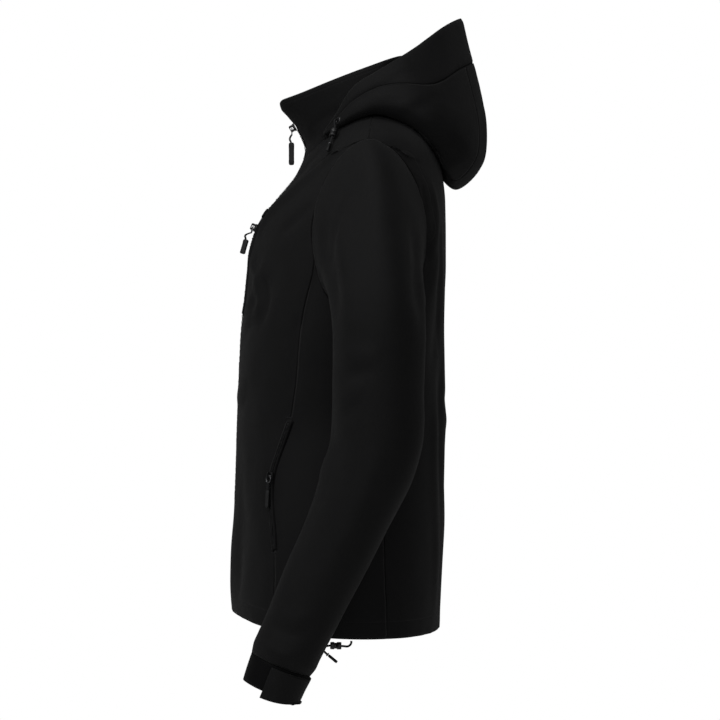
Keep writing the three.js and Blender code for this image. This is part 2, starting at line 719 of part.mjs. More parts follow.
const hoodAt = columnsByAngle(HOOD);

/** One section of the hood, from the neck seam round the pouch to the face opening. */
function hoodSection(angle) {
  const at = (name) => hoodAt[name](angle);
  const seam = neckPoint(THREE.MathUtils.degToRad(angle), 1.4);
  const foot = { share: shareAtY(at('footZ'), at('footY')), z: at('footZ') };
  const onBody = [0, 1 / 3, 2 / 3, 1].map((part) => {
    const share = THREE.MathUtils.lerp(seam.share, foot.share, part);
    const z = THREE.MathUtils.lerp(seam.z, foot.z, part);
    const rise = THREE.MathUtils.lerp(0.6, HOOD_CLEARANCE, Math.min(2 * part, 1));
    return bodyPoint(share, z).addScaledVector(bodyNormal(share, z), rise);
  });
  const free = ['lobe', 'belly', 'edge'].map((name) => (
    new THREE.Vector3(at(`${name}X`), at(`${name}Y`), at(`${name}Z`))
  ));
  const [lobe, belly, edge] = free;
  const chord = belly.clone().sub(lobe);
  const outward = new THREE.Vector3(belly.x, belly.y, 0).projectOnPlane(chord.clone().normalize());
  const heel = lobe.clone().lerp(belly, POUCH_HEEL.at)
    .addScaledVector(outward.normalize(), POUCH_HEEL.bulge * chord.length());
  const knots = [...onBody, lobe, heel, belly, edge];
  const curve = new THREE.CatmullRomCurve3(knots, false, 'centripetal');
  const brim = 1 - Math.min(BRIM.width / belly.distanceTo(edge), BRIM.mostShare) / 7;
  return steps([0, 3 / 7, 4 / 7, 5 / 7, 6 / 7, brim, 1], HOOD_ROWS).map((t) => curve.getPoint(t));
}

const hoodAngles = steps([50, 160, 180], [HOOD_SIDE_COLUMNS, HOOD_CROWN_COLUMNS]);
const hoodSections = hoodAngles.map(hoodSection);
const hoodPoints = hoodSections[0].map((point, i) => hoodSections.map((section) => section[i]));
const hoodNormals = gridNormals(hoodPoints);
hoodNormals.forEach((row) => row[row.length - 1].setX(0).normalize());
const hood = wall(hoodPoints, hoodNormals, CLOTH);
const onBrim = (i) => i >= BRIM_FIRST_ROW;
const onHoodSide = (i, j) => !onBrim(i) && j < HOOD_SIDE_COLUMNS;
addPair('hood_side', hood, SOFTSHELL, onHoodSide);
const wholeHood = doubled(hood);
const lastHoodColumn = wholeHood.outer[0].length - 2;
const fromSide = (j) => Math.min(j, lastHoodColumn - j);
addPiece('hood_crown', pieceGeometry(wholeHood, (i, j) => (
  i < BRIM_FIRST_ROW && fromSide(j) >= HOOD_SIDE_COLUMNS
)), SOFTSHELL);
addPiece('hood_brim', pieceGeometry(wholeHood, onBrim), SOFTSHELL);

/** A strap that lies on the back two thirds of the cuff and hangs below it in front. */
function strapCloth() {
  const [top, , foot] = CUFF;
  const axis = new THREE.Vector3(foot.x - top.x, foot.y - top.y, foot.z - top.z).normalize();
  const angles = steps([STRAP.from, STRAP.to], [STRAP.columns]).map(THREE.MathUtils.degToRad);
  const ring = (base, along, wider) => angles.map((angle) => {
    const point = ringPoint({ ...base, across: base.across + wider, deep: base.deep + wider }, angle);
    const slack = Math.cos((angle - angles[0]) / 1.3) ** 2;
    return point.addScaledVector(axis, along * (along > STRAP.top ? slack : 1));
  });
  const wide = STRAP.rise + STRAP.cloth;
  const points = [
    ring(top, STRAP.top, wide), ring(CUFF[1], 0, wide), ring(foot, 0, wide),
    ring(foot, STRAP.hang, wide),
  ].map((row) => row.reverse());
  return wall(points, gridNormals(points), STRAP.cloth);
}

const strap = strapCloth();
strap.flipped = strap.normals[1][4].x < 0;
addPair('cuff_tab', strap, SOFTSHELL);

const wasm = await Module();
wasm.setup();

/** A closed geometry as a solid that can be joined and cut. */
function solidOf(geometry) {
  const bare = geometry.clone();
  for (const name of Object.keys(bare.attributes)) {
    if (name !== 'position') bare.deleteAttribute(name);
  }
  const merged = mergeVertices(bare, 1e-4);
  return new wasm.Manifold(new wasm.Mesh({
    numProp: 3,
    vertProperties: merged.attributes.position.array,
    triVerts: new Uint32Array(merged.index.array),
  }));
}

/** The geometry of a solid. */
function geometryOf(solid) {
  const { vertProperties, triVerts } = solid.getMesh();
  const geometry = new THREE.BufferGeometry();
  geometry.setAttribute('position', new THREE.BufferAttribute(vertProperties, 3));
  geometry.setIndex(new THREE.BufferAttribute(triVerts, 1));
  return geometry;
}

/** Joins geometries into one solid piece. */
function joined(...geometries) {
  return geometryOf(geometries.map(solidOf).reduce((whole, next) => whole.add(next)));
}

/** A flat plate with round corners, in the plane of X and Z, from a front face back to a rear one. */
function plate(width, low, high, front, rear, corner, hole) {
  const shape = new THREE.Shape();
  outline(shape, width / 2, low, high, corner);
  if (hole) {
    const inner = new THREE.Path();
    outline(inner, hole.width / 2, hole.low, hole.high, hole.corner);
    shape.holes.push(inner);
  }
  const options = { depth: rear - front, bevelEnabled: false, curveSegments: 1 };
  const geometry = new THREE.ExtrudeGeometry(shape, options);
  return geometry.rotateX(Math.PI / 2).translate(0, rear, 0);
}

/** Draws a rectangle with round corners. */
function outline(path, half, low, high, corner) {
  path.moveTo(-half + corner, low);
  path.lineTo(half - corner, low);
  path.absarc(half - corner, low + corner, corner, -Math.PI / 2, 0);
  path.lineTo(half, high - corner);
  path.absarc(half - corner, high - corner, corner, 0, Math.PI / 2);
  path.lineTo(-half + corner, high);
  path.absarc(-half + corner, high - corner, corner, Math.PI / 2, Math.PI);
  path.lineTo(-half, low + corner);
  path.absarc(-half + corner, low + corner, corner, Math.PI, Math.PI * 1.5);
}

/** A turn and shift that lays a piece's own X across, Z up and -Y out of the cloth. */
function frameAt(point, out, up) {
  const rear = out.clone().negate().normalize();
  const across = rear.clone().cross(up).normalize();
  const rise = across.clone().cross(rear);
  return new THREE.Matrix4().makeBasis(across, rear, rise).setPosition(point);
}

/** A zip slider with its bridge, whose eye the pull swings in. */
function sliderGeometry() {
  const front = -SLIDER.rise - SLIDER.depth;
  const half = SLIDER.height / 2;
  const body = plate(SLIDER.width, -half, half, front, -SLIDER.rise, 2);
  const reach = BRIDGE.height / 2;
  const eye = BRIDGE.eye / 2;
  const arch = plate(
    BRIDGE.depth + 0.4, -reach, reach, -BRIDGE.width / 2, BRIDGE.width / 2, 1.4,
    { width: BRIDGE.depth + 0.4 - 2 * BRIDGE.wall, low: -eye, high: eye, corner: 0.6 },
  );
  arch.rotateZ(Math.PI / 2).translate(0, front - BRIDGE.depth / 2 + 0.2, 0);
  return joined(body, arch);
}

const PIVOT_OUT = SLIDER.rise + SLIDER.depth + BRIDGE.depth / 2 - 0.2;

/** A pull that hangs from its pivot: a ring, a short cord and a moulded grip. */
function pullGeometry(length, tilt) {
  const { ringHeight, bar, cordLength } = PULL;
  const low = bar / 2 - ringHeight;
  const ring = plate(PULL.ringWidth, low, bar / 2, -bar / 2, bar / 2, 1.6, {
    width: PULL.ringWidth - 2 * bar, low: low + bar, high: -bar / 2, corner: 0.8,
  });
  const cord = new THREE.CylinderGeometry(PULL.cordRadius, PULL.cordRadius, cordLength, 8);
  cord.rotateX(Math.PI / 2).translate(0, 0, low + bar / 2 - cordLength / 2);
  const gripTop = low - cordLength + 2;
  const half = PULL.gripDepth / 2;
  const grip = plate(PULL.gripWidth, bar / 2 - length, gripTop, -half, half, 1.8);
  return joined(ring, cord, grip).rotateX(THREE.MathUtils.degToRad(-tilt));
}

/** Adds a slider on a zip and the pull that hangs from it. */
function addSlider(name, kind, point, out, up, sign = 1) {
  const flip = (vector) => new THREE.Vector3(vector.x * sign, vector.y, vector.z);
  const [place, outward, upward] = [flip(point), flip(out), flip(up)];
  const frame = frameAt(place, outward, upward);
  addPiece(`slider_${name}`, sliderGeometry().applyMatrix4(frame), PAINTED_METAL);
  const pivot = new THREE.Vector3(0, -PIVOT_OUT, 0).applyMatrix4(frame);
  const level = outward.clone().setZ(0);
  const hang = frameAt(pivot, level, new THREE.Vector3(0, 0, 1));
  const { length, tilt } = PULLS.find((row) => row.name === kind);
  addPiece(`pull_${name}`, pullGeometry(length, tilt).applyMatrix4(hang), MOULDED);
}

/** The centre-front tape between two columns of x, along the zip edges of fronts and collar. */
function tapeCloth(edge, columns) {
  const points = edge.map((point) => columns(point.x).map((x) => new THREE.Vector3(x, point.y, point.z)));
  return wall(points, gridNormals(points), TAPE.cloth);
}

const bodyEdge = frontCloth.outer.map((row) => row[0]);
const collarEdge = collar.outer.map((row) => row[0]);
const closedEdge = [...bodyEdge, ...collarEdge.slice(1, SLIDER_ROW + 1)];
const mainTape = tapeCloth(closedEdge, () => [-ZIP_HALF_WIDTH, 0, ZIP_HALF_WIDTH]);
addPiece('zip_main', pieceGeometry(mainTape), TAPE_BLACK);

const openTape = tapeCloth(collarEdge.slice(SLIDER_ROW), (x) => [x - ZIP_HALF_WIDTH, x - 4 * SEAM_GAP]);
addPair('zip_main_end', openTape, TAPE_BLACK);

const sliderEdge = collarEdge[SLIDER_ROW];
const sliderUp = collarEdge[SLIDER_ROW + 1].clone().sub(collarEdge[SLIDER_ROW - 1]).setX(0);
const sliderOut = new THREE.Vector3(1, 0, 0).cross(sliderUp).normalize();
const mainPlace = sliderEdge.clone().setX(0).addScaledVector(sliderOut, TAPE.rise);
addSlider('main', 'main', mainPlace, sliderOut, sliderUp);

/** The point and direction on a wall's outer face at a given x and z. */
function onPanel(cloth, x, z) {
  for (let i = 0; i < cloth.outer.length - 1; i += 1) {
    for (let j = 0; j < cloth.outer[0].length - 1; j += 1) {
      const square = [[i, j], [i, j + 1], [i + 1, j + 1], [i + 1, j]];
      for (const order of [[0, 1, 2], [0, 2, 3]]) {
        const [a, b, c] = order.map((n) => cloth.outer[square[n][0]][square[n][1]]);
        const [na, nb, nc] = order.map((n) => cloth.normals[square[n][0]][square[n][1]]);
        const area = (b.x - a.x) * (c.z - a.z) - (c.x - a.x) * (b.z - a.z);
        const v = ((x - a.x) * (c.z - a.z) - (c.x - a.x) * (z - a.z)) / area;
        const w = ((b.x - a.x) * (z - a.z) - (x - a.x) * (b.z - a.z)) / area;
        if (v >= 0 && w >= 0 && v + w <= 1) {
          const mix = (p, q, r) => p.clone().multiplyScalar(1 - v - w).addScaledVector(q, v)
            .addScaledVector(r, w);
          return { point: mix(a, b, c), out: mix(na, nb, nc).normalize() };
        }
      }
    }
  }
  throw new Error(`no cloth at x ${x}, z ${z}`);
}

/** A tape that lies on cloth, from rows of points and directions. */
function tapeOn(rows) {
  const normals = rows.map((row) => row.map(({ out }) => out));
  const points = rows.map((row) => row.map(({ point, out }) => (
    point.clone().addScaledVector(out, TAPE.rise + TAPE.cloth)
  )));
  return wall(points, normals, TAPE.cloth);
}

const chestRows = steps([0, 1], [CHEST_ZIP.rows]).map((part) => {
  const x = THREE.MathUtils.lerp(CHEST_ZIP.footX, CHEST_ZIP.topX, part);
  const z = THREE.MathUtils.lerp(CHEST_ZIP.footZ, CHEST_ZIP.topZ, part);
  return [-0.5, 0, 0.5].map((side) => onPanel(frontCloth, x + side * TAPE.width, z));
});
addPiece('zip_chest', pieceGeometry(tapeOn(chestRows)), TAPE_BLACK);

/** A frame on the left front, so high above the cloth. */
function onFront(x, z, rise) {
  const { point, out } = onPanel(frontCloth, x, z);
  const up = onPanel(frontCloth, x, z + 5).point.sub(onPanel(frontCloth, x, z - 5).point);
  return { point: point.addScaledVector(out, rise), out, up };
}

const garagePlace = onFront(GARAGE.x, GARAGE.z, GARAGE.rise);
const garageHalf = GARAGE.height / 2;
const garage = plate(GARAGE.width, -garageHalf, garageHalf, -GARAGE.cloth, 0, 5);
garage.applyMatrix4(frameAt(garagePlace.point, garagePlace.out, garagePlace.up));
addPiece('garage_chest', garage, SOFTSHELL);
const tapeTop = TAPE.rise + TAPE.cloth;
const chestSlider = onFront(CHEST_ZIP.topX, CHEST_ZIP.sliderZ, tapeTop);
addSlider('chest', 'chest', chestSlider.point, chestSlider.out, chestSlider.up);

/** A point on the cloth a step away from a panel's edge, with the edge's direction. */
function beside(cloth, i, edge, next, distance) {
  const point = cloth.outer[i][edge].clone();
  const way = cloth.outer[i][next].clone().sub(point).normalize();
  return { point: point.addScaledVector(way, distance), out: cloth.normals[i][edge] };
}

const half = TAPE.width / 2;
const handRows = [];
for (let i = HAND_ZIP.firstRow; i <= HAND_ZIP.lastRow; i += 1) {
  handRows.push([
    beside(frontCloth, i, FRONT_COLUMNS, FRONT_COLUMNS - 1, half),
    beside(sideCloth, i, 0, 1, 0),
    beside(sideCloth, i, 0, 1, half),
  ]);
}
addPair('zip_hand', tapeOn(handRows), TAPE_BLACK);

const handPart = HAND_ZIP.sliderRow - HAND_ZIP.firstRow;
const handLow = handRows[Math.floor(handPart)][1];
const handHigh = handRows[Math.ceil(handPart)][1];
const handUp = handHigh.point.clone().sub(handLow.point);
const handPlace = handLow.point.clone().addScaledVector(handUp, handPart % 1);
const handOut = handLow.out.clone().lerp(handHigh.out, handPart % 1).normalize();
handPlace.addScaledVector(handOut, tapeTop);
for (const { side, sign } of SIDES) {
  addSlider(`hand_${side}`, 'hand', handPlace, handOut, handUp, sign);
}

/** A round cord along a smooth curve through its points. */
function cordGeometry(curve, radius, parts) {
  const section = new THREE.Shape();
  const corners = 8;
  for (let i = 0; i < corners; i += 1) {
    const angle = (2 * Math.PI * i) / corners;
    const x = radius * Math.cos(angle);
    const y = radius * Math.sin(angle);
    if (i === 0) section.moveTo(x, y);
    else section.lineTo(x, y);
  }
  const options = { steps: parts, extrudePath: curve, bevelEnabled: false };
  return new THREE.ExtrudeGeometry(section, options);
}

/** Turns a piece made along Z so that it runs along a direction from a point. */
function alongFrom(geometry, point, direction) {
  const turn = new THREE.Quaternion().setFromUnitVectors(
    new THREE.Vector3(0, 0, 1), direction.clone().normalize(),
  );
  return geometry.applyQuaternion(turn).translate(point.x, point.y, point.z);
}

/** A cord lock: a waisted barrel round the cord, bored for it. */
function lockGeometry(curve, place, bore) {
  const end = LOCK.length / 2;
  const profile = [
    [0, -end], [LOCK.radius - 0.8, -end], [LOCK.radius, 0.8 - end], [LOCK.radius, -1.5],
    [LOCK.waist, -0.5], [LOCK.waist, 1.5], [LOCK.radius, 2.5], [LOCK.radius, end - 0.8],
    [LOCK.radius - 0.8, end], [0, end],
  ].map(([x, y]) => new THREE.Vector2(x, y));
  const barrel = new THREE.LatheGeometry(profile, 8).rotateX(Math.PI / 2);
  alongFrom(barrel, curve.getPoint(place), curve.getTangent(place));
  return geometryOf(solidOf(barrel).subtract(solidOf(bore)));
}

/** A flat moulded end that the cord goes into. */
function toggleGeometry(curve) {
  const depth = TOGGLE.depth / 2;
  const flat = plate(TOGGLE.width, SEAM_GAP, TOGGLE.length, -depth, depth, 1.3);
  return alongFrom(flat, curve.getPoint(1), curve.getTangent(1));
}

/** Adds a cord with its lock and its moulded end, on both sides. */
function addCord(name, points, lockPlace) {
  const parts = 12;
  for (const { side, sign } of SIDES) {
    const route = points.map((p) => new THREE.Vector3(p.x * sign, p.y, p.z));
    const curve = new THREE.CatmullRomCurve3(route, false, 'centripetal');
    addPiece(`${name}_cord_${side}`, cordGeometry(curve, CORD_RADIUS, parts), CORD_BLACK);
    const bore = cordGeometry(curve, CORD_RADIUS + SEAM_GAP, parts);
    addPiece(`${name}_lock_${side}`, lockGeometry(curve, lockPlace, bore), MOULDED);
    addPiece(`${name}_toggle_${side}`, toggleGeometry(curve), MOULDED);
  }
}

/** The point and direction of a wall's outer face between its rows and columns. */
function between(cloth, row, column) {
  const i = Math.floor(row);
  const j = Math.floor(column);
  const mix = (grid) => grid[i][j].clone().lerp(grid[i][j + 1], column - j)
    .lerp(grid[i + 1][j].clone().lerp(grid[i + 1][j + 1], column - j), row - i);
  return { point: mix(cloth.outer), out: mix(cloth.normals).normalize() };
}

const eyelet = between(hood, HOOD_EYELET.row, HOOD_EYELET.column);
const ringProfile = [
  [HOOD_EYELET.inner, 0], [HOOD_EYELET.outer, 0], [HOOD_EYELET.outer - 0.5, HOOD_EYELET.height],
  [HOOD_EYELET.inner, HOOD_EYELET.height], [HOOD_EYELET.inner, 0],
].map(([x, y]) => new THREE.Vector2(x, y));
for (const { side, sign } of SIDES) {
  const ring = new THREE.LatheGeometry(ringProfile, 12).rotateX(Math.PI / 2);
  const seat = eyelet.point.clone().addScaledVector(eyelet.out, HOOD_EYELET.rise);
  seat.x *= sign;
  const out = eyelet.out.clone();
  out.x *= sign;
  addPiece(`hood_eyelet_${side}`, alongFrom(ring, seat, out), PAINTED_METAL);
}

const hoodRoute = [0.9, 5].map((rise) => eyelet.point.clone().addScaledVector(eyelet.out, rise));
for (const { x, y, rise } of HOOD_CORD) {
  hoodRoute.push(new THREE.Vector3(x, y, heightAbove(x, y) + rise));
}
addCord('hood', hoodRoute, 0.45);
addCord('hem', HEM_CORD.map(({ y, z }) => new THREE.Vector3(HEM_CORD_X, y, z)), 0.45);

export default jacket;
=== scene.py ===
"""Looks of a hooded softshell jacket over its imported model. Metres, +Z up, the front towards -Y."""

from __future__ import annotations

import json
import logging
import math
import random
from dataclasses import dataclass, field
from enum import Enum

import bmesh
import bpy
import numpy as np
from mathutils import Matrix, Vector
from mathutils.bvhtree import BVHTree
from mathutils.kdtree import KDTree

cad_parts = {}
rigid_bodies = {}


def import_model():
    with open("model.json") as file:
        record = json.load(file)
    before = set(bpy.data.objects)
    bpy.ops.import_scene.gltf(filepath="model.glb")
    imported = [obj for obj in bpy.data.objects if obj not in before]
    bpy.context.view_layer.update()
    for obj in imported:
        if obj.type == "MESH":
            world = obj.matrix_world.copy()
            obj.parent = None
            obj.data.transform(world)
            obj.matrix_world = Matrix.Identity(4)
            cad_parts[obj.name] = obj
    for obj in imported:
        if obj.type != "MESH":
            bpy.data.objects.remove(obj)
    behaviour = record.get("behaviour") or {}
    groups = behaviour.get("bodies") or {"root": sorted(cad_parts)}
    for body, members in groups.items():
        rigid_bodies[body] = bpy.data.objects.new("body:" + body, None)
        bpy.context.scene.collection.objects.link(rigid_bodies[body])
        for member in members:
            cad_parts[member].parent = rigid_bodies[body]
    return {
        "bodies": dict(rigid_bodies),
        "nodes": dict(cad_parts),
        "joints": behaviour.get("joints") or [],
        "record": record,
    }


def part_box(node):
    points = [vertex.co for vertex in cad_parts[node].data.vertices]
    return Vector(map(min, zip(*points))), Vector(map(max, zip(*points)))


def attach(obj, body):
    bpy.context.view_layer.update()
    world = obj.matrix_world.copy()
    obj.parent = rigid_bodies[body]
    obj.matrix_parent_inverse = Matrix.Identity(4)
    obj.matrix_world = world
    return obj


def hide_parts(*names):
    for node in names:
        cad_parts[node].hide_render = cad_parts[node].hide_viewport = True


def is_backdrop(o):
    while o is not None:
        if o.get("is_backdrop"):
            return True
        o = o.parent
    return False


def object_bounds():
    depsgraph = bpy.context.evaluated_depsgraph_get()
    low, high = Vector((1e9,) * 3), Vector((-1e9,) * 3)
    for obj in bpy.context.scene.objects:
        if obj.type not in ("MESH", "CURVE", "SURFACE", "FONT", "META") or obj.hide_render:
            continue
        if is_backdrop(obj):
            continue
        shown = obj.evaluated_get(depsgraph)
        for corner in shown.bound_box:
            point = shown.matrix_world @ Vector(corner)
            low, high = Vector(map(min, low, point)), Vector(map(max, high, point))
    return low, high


LOG = logging.getLogger("softshell_jacket")
MM = 0.001
JACKET = "jacket"
MERGED_MM = 0.02
SEAM_GAP_MM = 0.3
Pair = tuple[float, float]
Triple = tuple[float, float, float]
Socket = bpy.types.NodeSocket


class Side(Enum):
    """The wearer's left is +X and the wearer's right is -X."""

    LEFT = 1
    RIGHT = -1

    @property
    def word(self) -> str:
        """The side's name as nodes use it."""
        return self.name.lower()


class Seen(Enum):
    """The side that a crease's points were placed from, as the way that its line of sight goes."""

    LEFT = (-1, 0, 0)
    RIGHT = (1, 0, 0)
    FRONT = (0, 1, 0)
    BACK = (0, -1, 0)
    ABOVE = (0, 0, -1)


class Edge(Enum):
    """Which edges of a panel a line of stitches follows."""

    NONE = 0
    LOWER = -1
    UPPER = 1


# ---------------------------------------------------------------- node groups


def new_group(name: str, sockets: tuple[tuple[str, str, str], ...]) -> bpy.types.NodeTree:
    """Starts a shader node group.

    Args:
        name: the group's name.
        sockets: one (name, INPUT or OUTPUT, type) for each socket.

    Returns:
        The group, with its sockets and an input and an output node.
    """
    group = bpy.data.node_groups.new(name, "ShaderNodeTree")
    for socket, way, kind in sockets:
        group.interface.new_socket(name=socket, in_out=way, socket_type="NodeSocket" + kind)
    group.nodes.new("NodeGroupInput").name = "in"
    group.nodes.new("NodeGroupOutput").name = "out"
    return group


@dataclass
class Wiring:
    """A short way to add and join the nodes of one tree."""

    tree: bpy.types.NodeTree

    def join(self, value: object, socket: Socket) -> None:
        """Joins another node's output to an input, or sets the input to a plain value."""
        if isinstance(value, Socket):
            self.tree.links.new(value, socket)
        else:
            socket.default_value = value

    def math(self, operation: str, *values: float | Socket) -> Socket:
        """Adds a Math node.

        Args:
            operation: the node's operation.
            values: numbers or sockets for its inputs.

        Returns:
            Its output.
        """
        node = self.tree.nodes.new("ShaderNodeMath")
        node.operation = operation
        for socket, value in zip(node.inputs, values):
            self.join(value, socket)
        return node.outputs[0]

    def add(self, kind: str, **inputs: object) -> bpy.types.Node:
        """Adds a node of a kind and sets or joins the inputs that are named.

        Args:
            kind: the node's type, without ShaderNode.
            inputs: a value or socket for each input, with _ for a space.

        Returns:
            The node.
        """
        node = self.tree.nodes.new("ShaderNode" + kind)
        for name, value in inputs.items():
            self.join(value, node.inputs[name.replace("_", " ")])
        return node

    def ramp(self, value: Socket, low: float, high: float) -> Socket:
        """A smooth step from 0 at low to 1 at high."""
        node = self.add("MapRange", Value=value, From_Min=low, From_Max=high)
        node.interpolation_type = "SMOOTHSTEP"
        return node.outputs[0]

    def place(self) -> Socket:
        """Where each point is on its own object."""
        return self.add("TexCoord").outputs["Object"]

    def sewn_map(self, name: str) -> Socket:
        """The (along, distance) map of a sewn edge."""
        node = self.add("UVMap")
        node.uv_map = name
        return node.outputs[0]

    def mixed(self, factor: float | Socket, first: object, second: object, blend: str = "MIX") -> Socket:
        """Mixes two colours.

        Args:
            factor: how much of the second there is, from 0 to 1.
            first: a colour or a socket.
            second: a colour or a socket.
            blend: the way that they are mixed.

        Returns:
            The colour.
        """
        node = self.tree.nodes.new("ShaderNodeMix")
        node.data_type = "RGBA"
        node.blend_type = blend
        for key, value in (("Factor", factor), ("A", first), ("B", second)):
            self.join(value, node.inputs[key])
        return node.outputs["Result"]


def cloth_face_group() -> bpy.types.NodeTree:
    """The fine knit of the cloth: its height, and the soft patches where it is greyer."""
    group = new_group("cloth face", (
        ("Vector", "INPUT", "Vector"), ("Pitch", "INPUT", "Float"),
        ("Height", "OUTPUT", "Float"), ("Mottle", "OUTPUT", "Float"),
    ))
    wires = Wiring(group)
    given, out = group.nodes["in"], group.nodes["out"]
    scaled = wires.add("VectorMath")
    scaled.operation = "SCALE"
    group.links.new(given.outputs["Vector"], scaled.inputs[0])
    group.links.new(wires.math("DIVIDE", 1000.0, given.outputs["Pitch"]), scaled.inputs["Scale"])
    split = wires.add("SeparateXYZ", Vector=scaled.outputs[0])
    x, y, z = split.outputs
    ribs, rows = (
        wires.math("SINE", wires.math("MULTIPLY", wires.math(way, wires.math("ADD", x, y), z), math.tau))
        for way in ("ADD", "SUBTRACT")
    )
    weave = wires.math("MULTIPLY", ribs, rows)
    grain = wires.add("TexNoise", Vector=scaled.outputs[0], Scale=0.7, Detail=2.0)
    height = wires.math("ADD", wires.math("MULTIPLY", weave, 0.35), grain.outputs[0])
    group.links.new(height, out.inputs["Height"])
    patches = wires.add("TexNoise", Vector=given.outputs["Vector"], Scale=38.0, Detail=4.0, Roughness=0.6)
    group.links.new(patches.outputs[0], out.inputs["Mottle"])
    return group


def sewn_edge_group() -> bpy.types.NodeTree:
    """A sewn edge on a map of (along, distance): its roll into the seam and a row of stitches."""
    group = new_group("sewn edge", (
        ("Map", "INPUT", "Vector"), ("Roll", "INPUT", "Float"), ("Offset", "INPUT", "Float"),
        ("Height", "OUTPUT", "Float"), ("Thread", "OUTPUT", "Float"), ("Shade", "OUTPUT", "Float"),
    ))
    wires = Wiring(group)
    given, out = group.nodes["in"], group.nodes["out"]
    split = wires.add("SeparateXYZ", Vector=given.outputs["Map"])
    along = wires.math("MULTIPLY", split.outputs[0], 1000.0)
    distance = wires.math("MULTIPLY", split.outputs[1], 1000.0)
    reach = wires.math("DIVIDE", distance, given.outputs["Roll"])
    rolled = wires.ramp(reach, 0.0, 1.0)
    aside = wires.math("ABSOLUTE", wires.math("SUBTRACT", distance, given.outputs["Offset"]))
    line = wires.math("SUBTRACT", 1.0, wires.ramp(aside, 0.15, 0.55))
    step = wires.math("FRACT", wires.math("DIVIDE", along, 3.2))
    from_middle = wires.math("ABSOLUTE", wires.math("SUBTRACT", step, 0.5))
    dash = wires.math("SUBTRACT", 1.0, wires.ramp(from_middle, 0.3, 0.44))
    thread = wires.math("MULTIPLY", line, dash)
    trough = wires.math("SUBTRACT", 1.0, wires.ramp(aside, 0.0, 1.6))
    raised = wires.math("ADD", rolled, wires.math("MULTIPLY", thread, 0.5))
    height = wires.math("SUBTRACT", raised, wires.math("MULTIPLY", trough, 0.45))
    group.links.new(height, out.inputs["Height"])
    group.links.new(thread, out.inputs["Thread"])
    group.links.new(wires.math("ADD", wires.math("MULTIPLY", rolled, 0.28), 0.72), out.inputs["Shade"])
    return group


def scuff_group() -> bpy.types.NodeTree:
    """Uneven gloss and faint specks on hard trim."""
    group = new_group("handled surface", (
        ("Vector", "INPUT", "Vector"), ("Scale", "INPUT", "Float"),
        ("Height", "OUTPUT", "Float"), ("Wear", "OUTPUT", "Float"),
    ))
    wires = Wiring(group)
    given, out = group.nodes["in"], group.nodes["out"]
    place, scale = given.outputs["Vector"], given.outputs["Scale"]
    fine = wires.add("TexNoise", Vector=place, Scale=scale, Detail=3.0)
    broad = wires.add("TexNoise", Vector=place, Scale=wires.math("MULTIPLY", scale, 0.13), Detail=2.0)
    group.links.new(fine.outputs[0], out.inputs["Height"])
    group.links.new(wires.ramp(broad.outputs[0], 0.4, 0.62), out.inputs["Wear"])
    return group


GROUP_MAKERS = {
    "cloth face": cloth_face_group, "sewn edge": sewn_edge_group, "handled surface": scuff_group,
}


def placed_group(wires: Wiring, name: str, **inputs: object) -> bpy.types.Node:
    """Places a shared node group in a material.

    Args:
        wires: the material's wiring.
        name: the group's name.
        inputs: a value or socket for each input that is set.

    Returns:
        The group node.
    """
    tree = bpy.data.node_groups.get(name) or GROUP_MAKERS[name]()
    node = wires.tree.nodes.new("ShaderNodeGroup")
    node.node_tree = tree
    for key, value in inputs.items():
        wires.join(value, node.inputs[key])
    return node


# ---------------------------------------------------------------- finishes


@dataclass(frozen=True)
class Finish:
    """What every finish has: a name, a colour and how it takes light."""

    name: str
    colour: Triple
    roughness: float
    specular: float = 0.5
    metallic: float = 0.0

    def started(self) -> tuple[bpy.types.Material, Wiring, bpy.types.Node]:
        """Starts the material, and returns it with its wiring and its shader."""
        material = bpy.data.materials.new(self.name)
        material.use_nodes = True
        shader = material.node_tree.nodes["Principled BSDF"]
        shader.inputs["Base Color"].default_value = self.tint()
        shader.inputs["Roughness"].default_value = self.roughness
        shader.inputs["Specular IOR Level"].default_value = self.specular
        shader.inputs["Metallic"].default_value = self.metallic
        return material, Wiring(material.node_tree), shader

    def tint(self, share: float = 1.0) -> tuple[float, float, float, float]:
        """The colour, with every part of it multiplied by a share."""
        return (*(part * share for part in self.colour), 1.0)

    def bump(self, wires: Wiring, shader: bpy.types.Node, *heights: tuple[Socket, float]) -> None:
        """Joins bumps one after another to a shader's Normal.

        Args:
            wires: the material's wiring.
            shader: its shader.
            heights: a height socket and its depth in metres for each bump.
        """
        normal = None
        for height, depth in heights:
            node = wires.add("Bump", Height=height, Distance=depth)
            if normal is not None:
                wires.tree.links.new(normal, node.inputs["Normal"])
            normal = node.outputs[0]
        wires.tree.links.new(normal, shader.inputs["Normal"])

    def uneven(
        self, wires: Wiring, shader: bpy.types.Node, mask: Socket, low: float, high: float, gloss: float = 0.0,
    ) -> Socket:
        """Makes the finish darker and lighter, and rougher and smoother, by a mask.

        Args:
            wires: the material's wiring.
            shader: its shader.
            mask: the mask, from 0 to 1.
            low: how bright the colour is at 0.
            high: how bright it is at 1.
            gloss: how much the roughness differs between 0 and 1.

        Returns:
            The colour.
        """
        colour = wires.mixed(mask, self.tint(low), self.tint(high))
        wires.join(colour, shader.inputs["Base Color"])
        if gloss:
            rough = wires.math("ADD", wires.math("MULTIPLY", mask, gloss), self.roughness - gloss / 2)
            wires.join(rough, shader.inputs["Roughness"])
        return colour


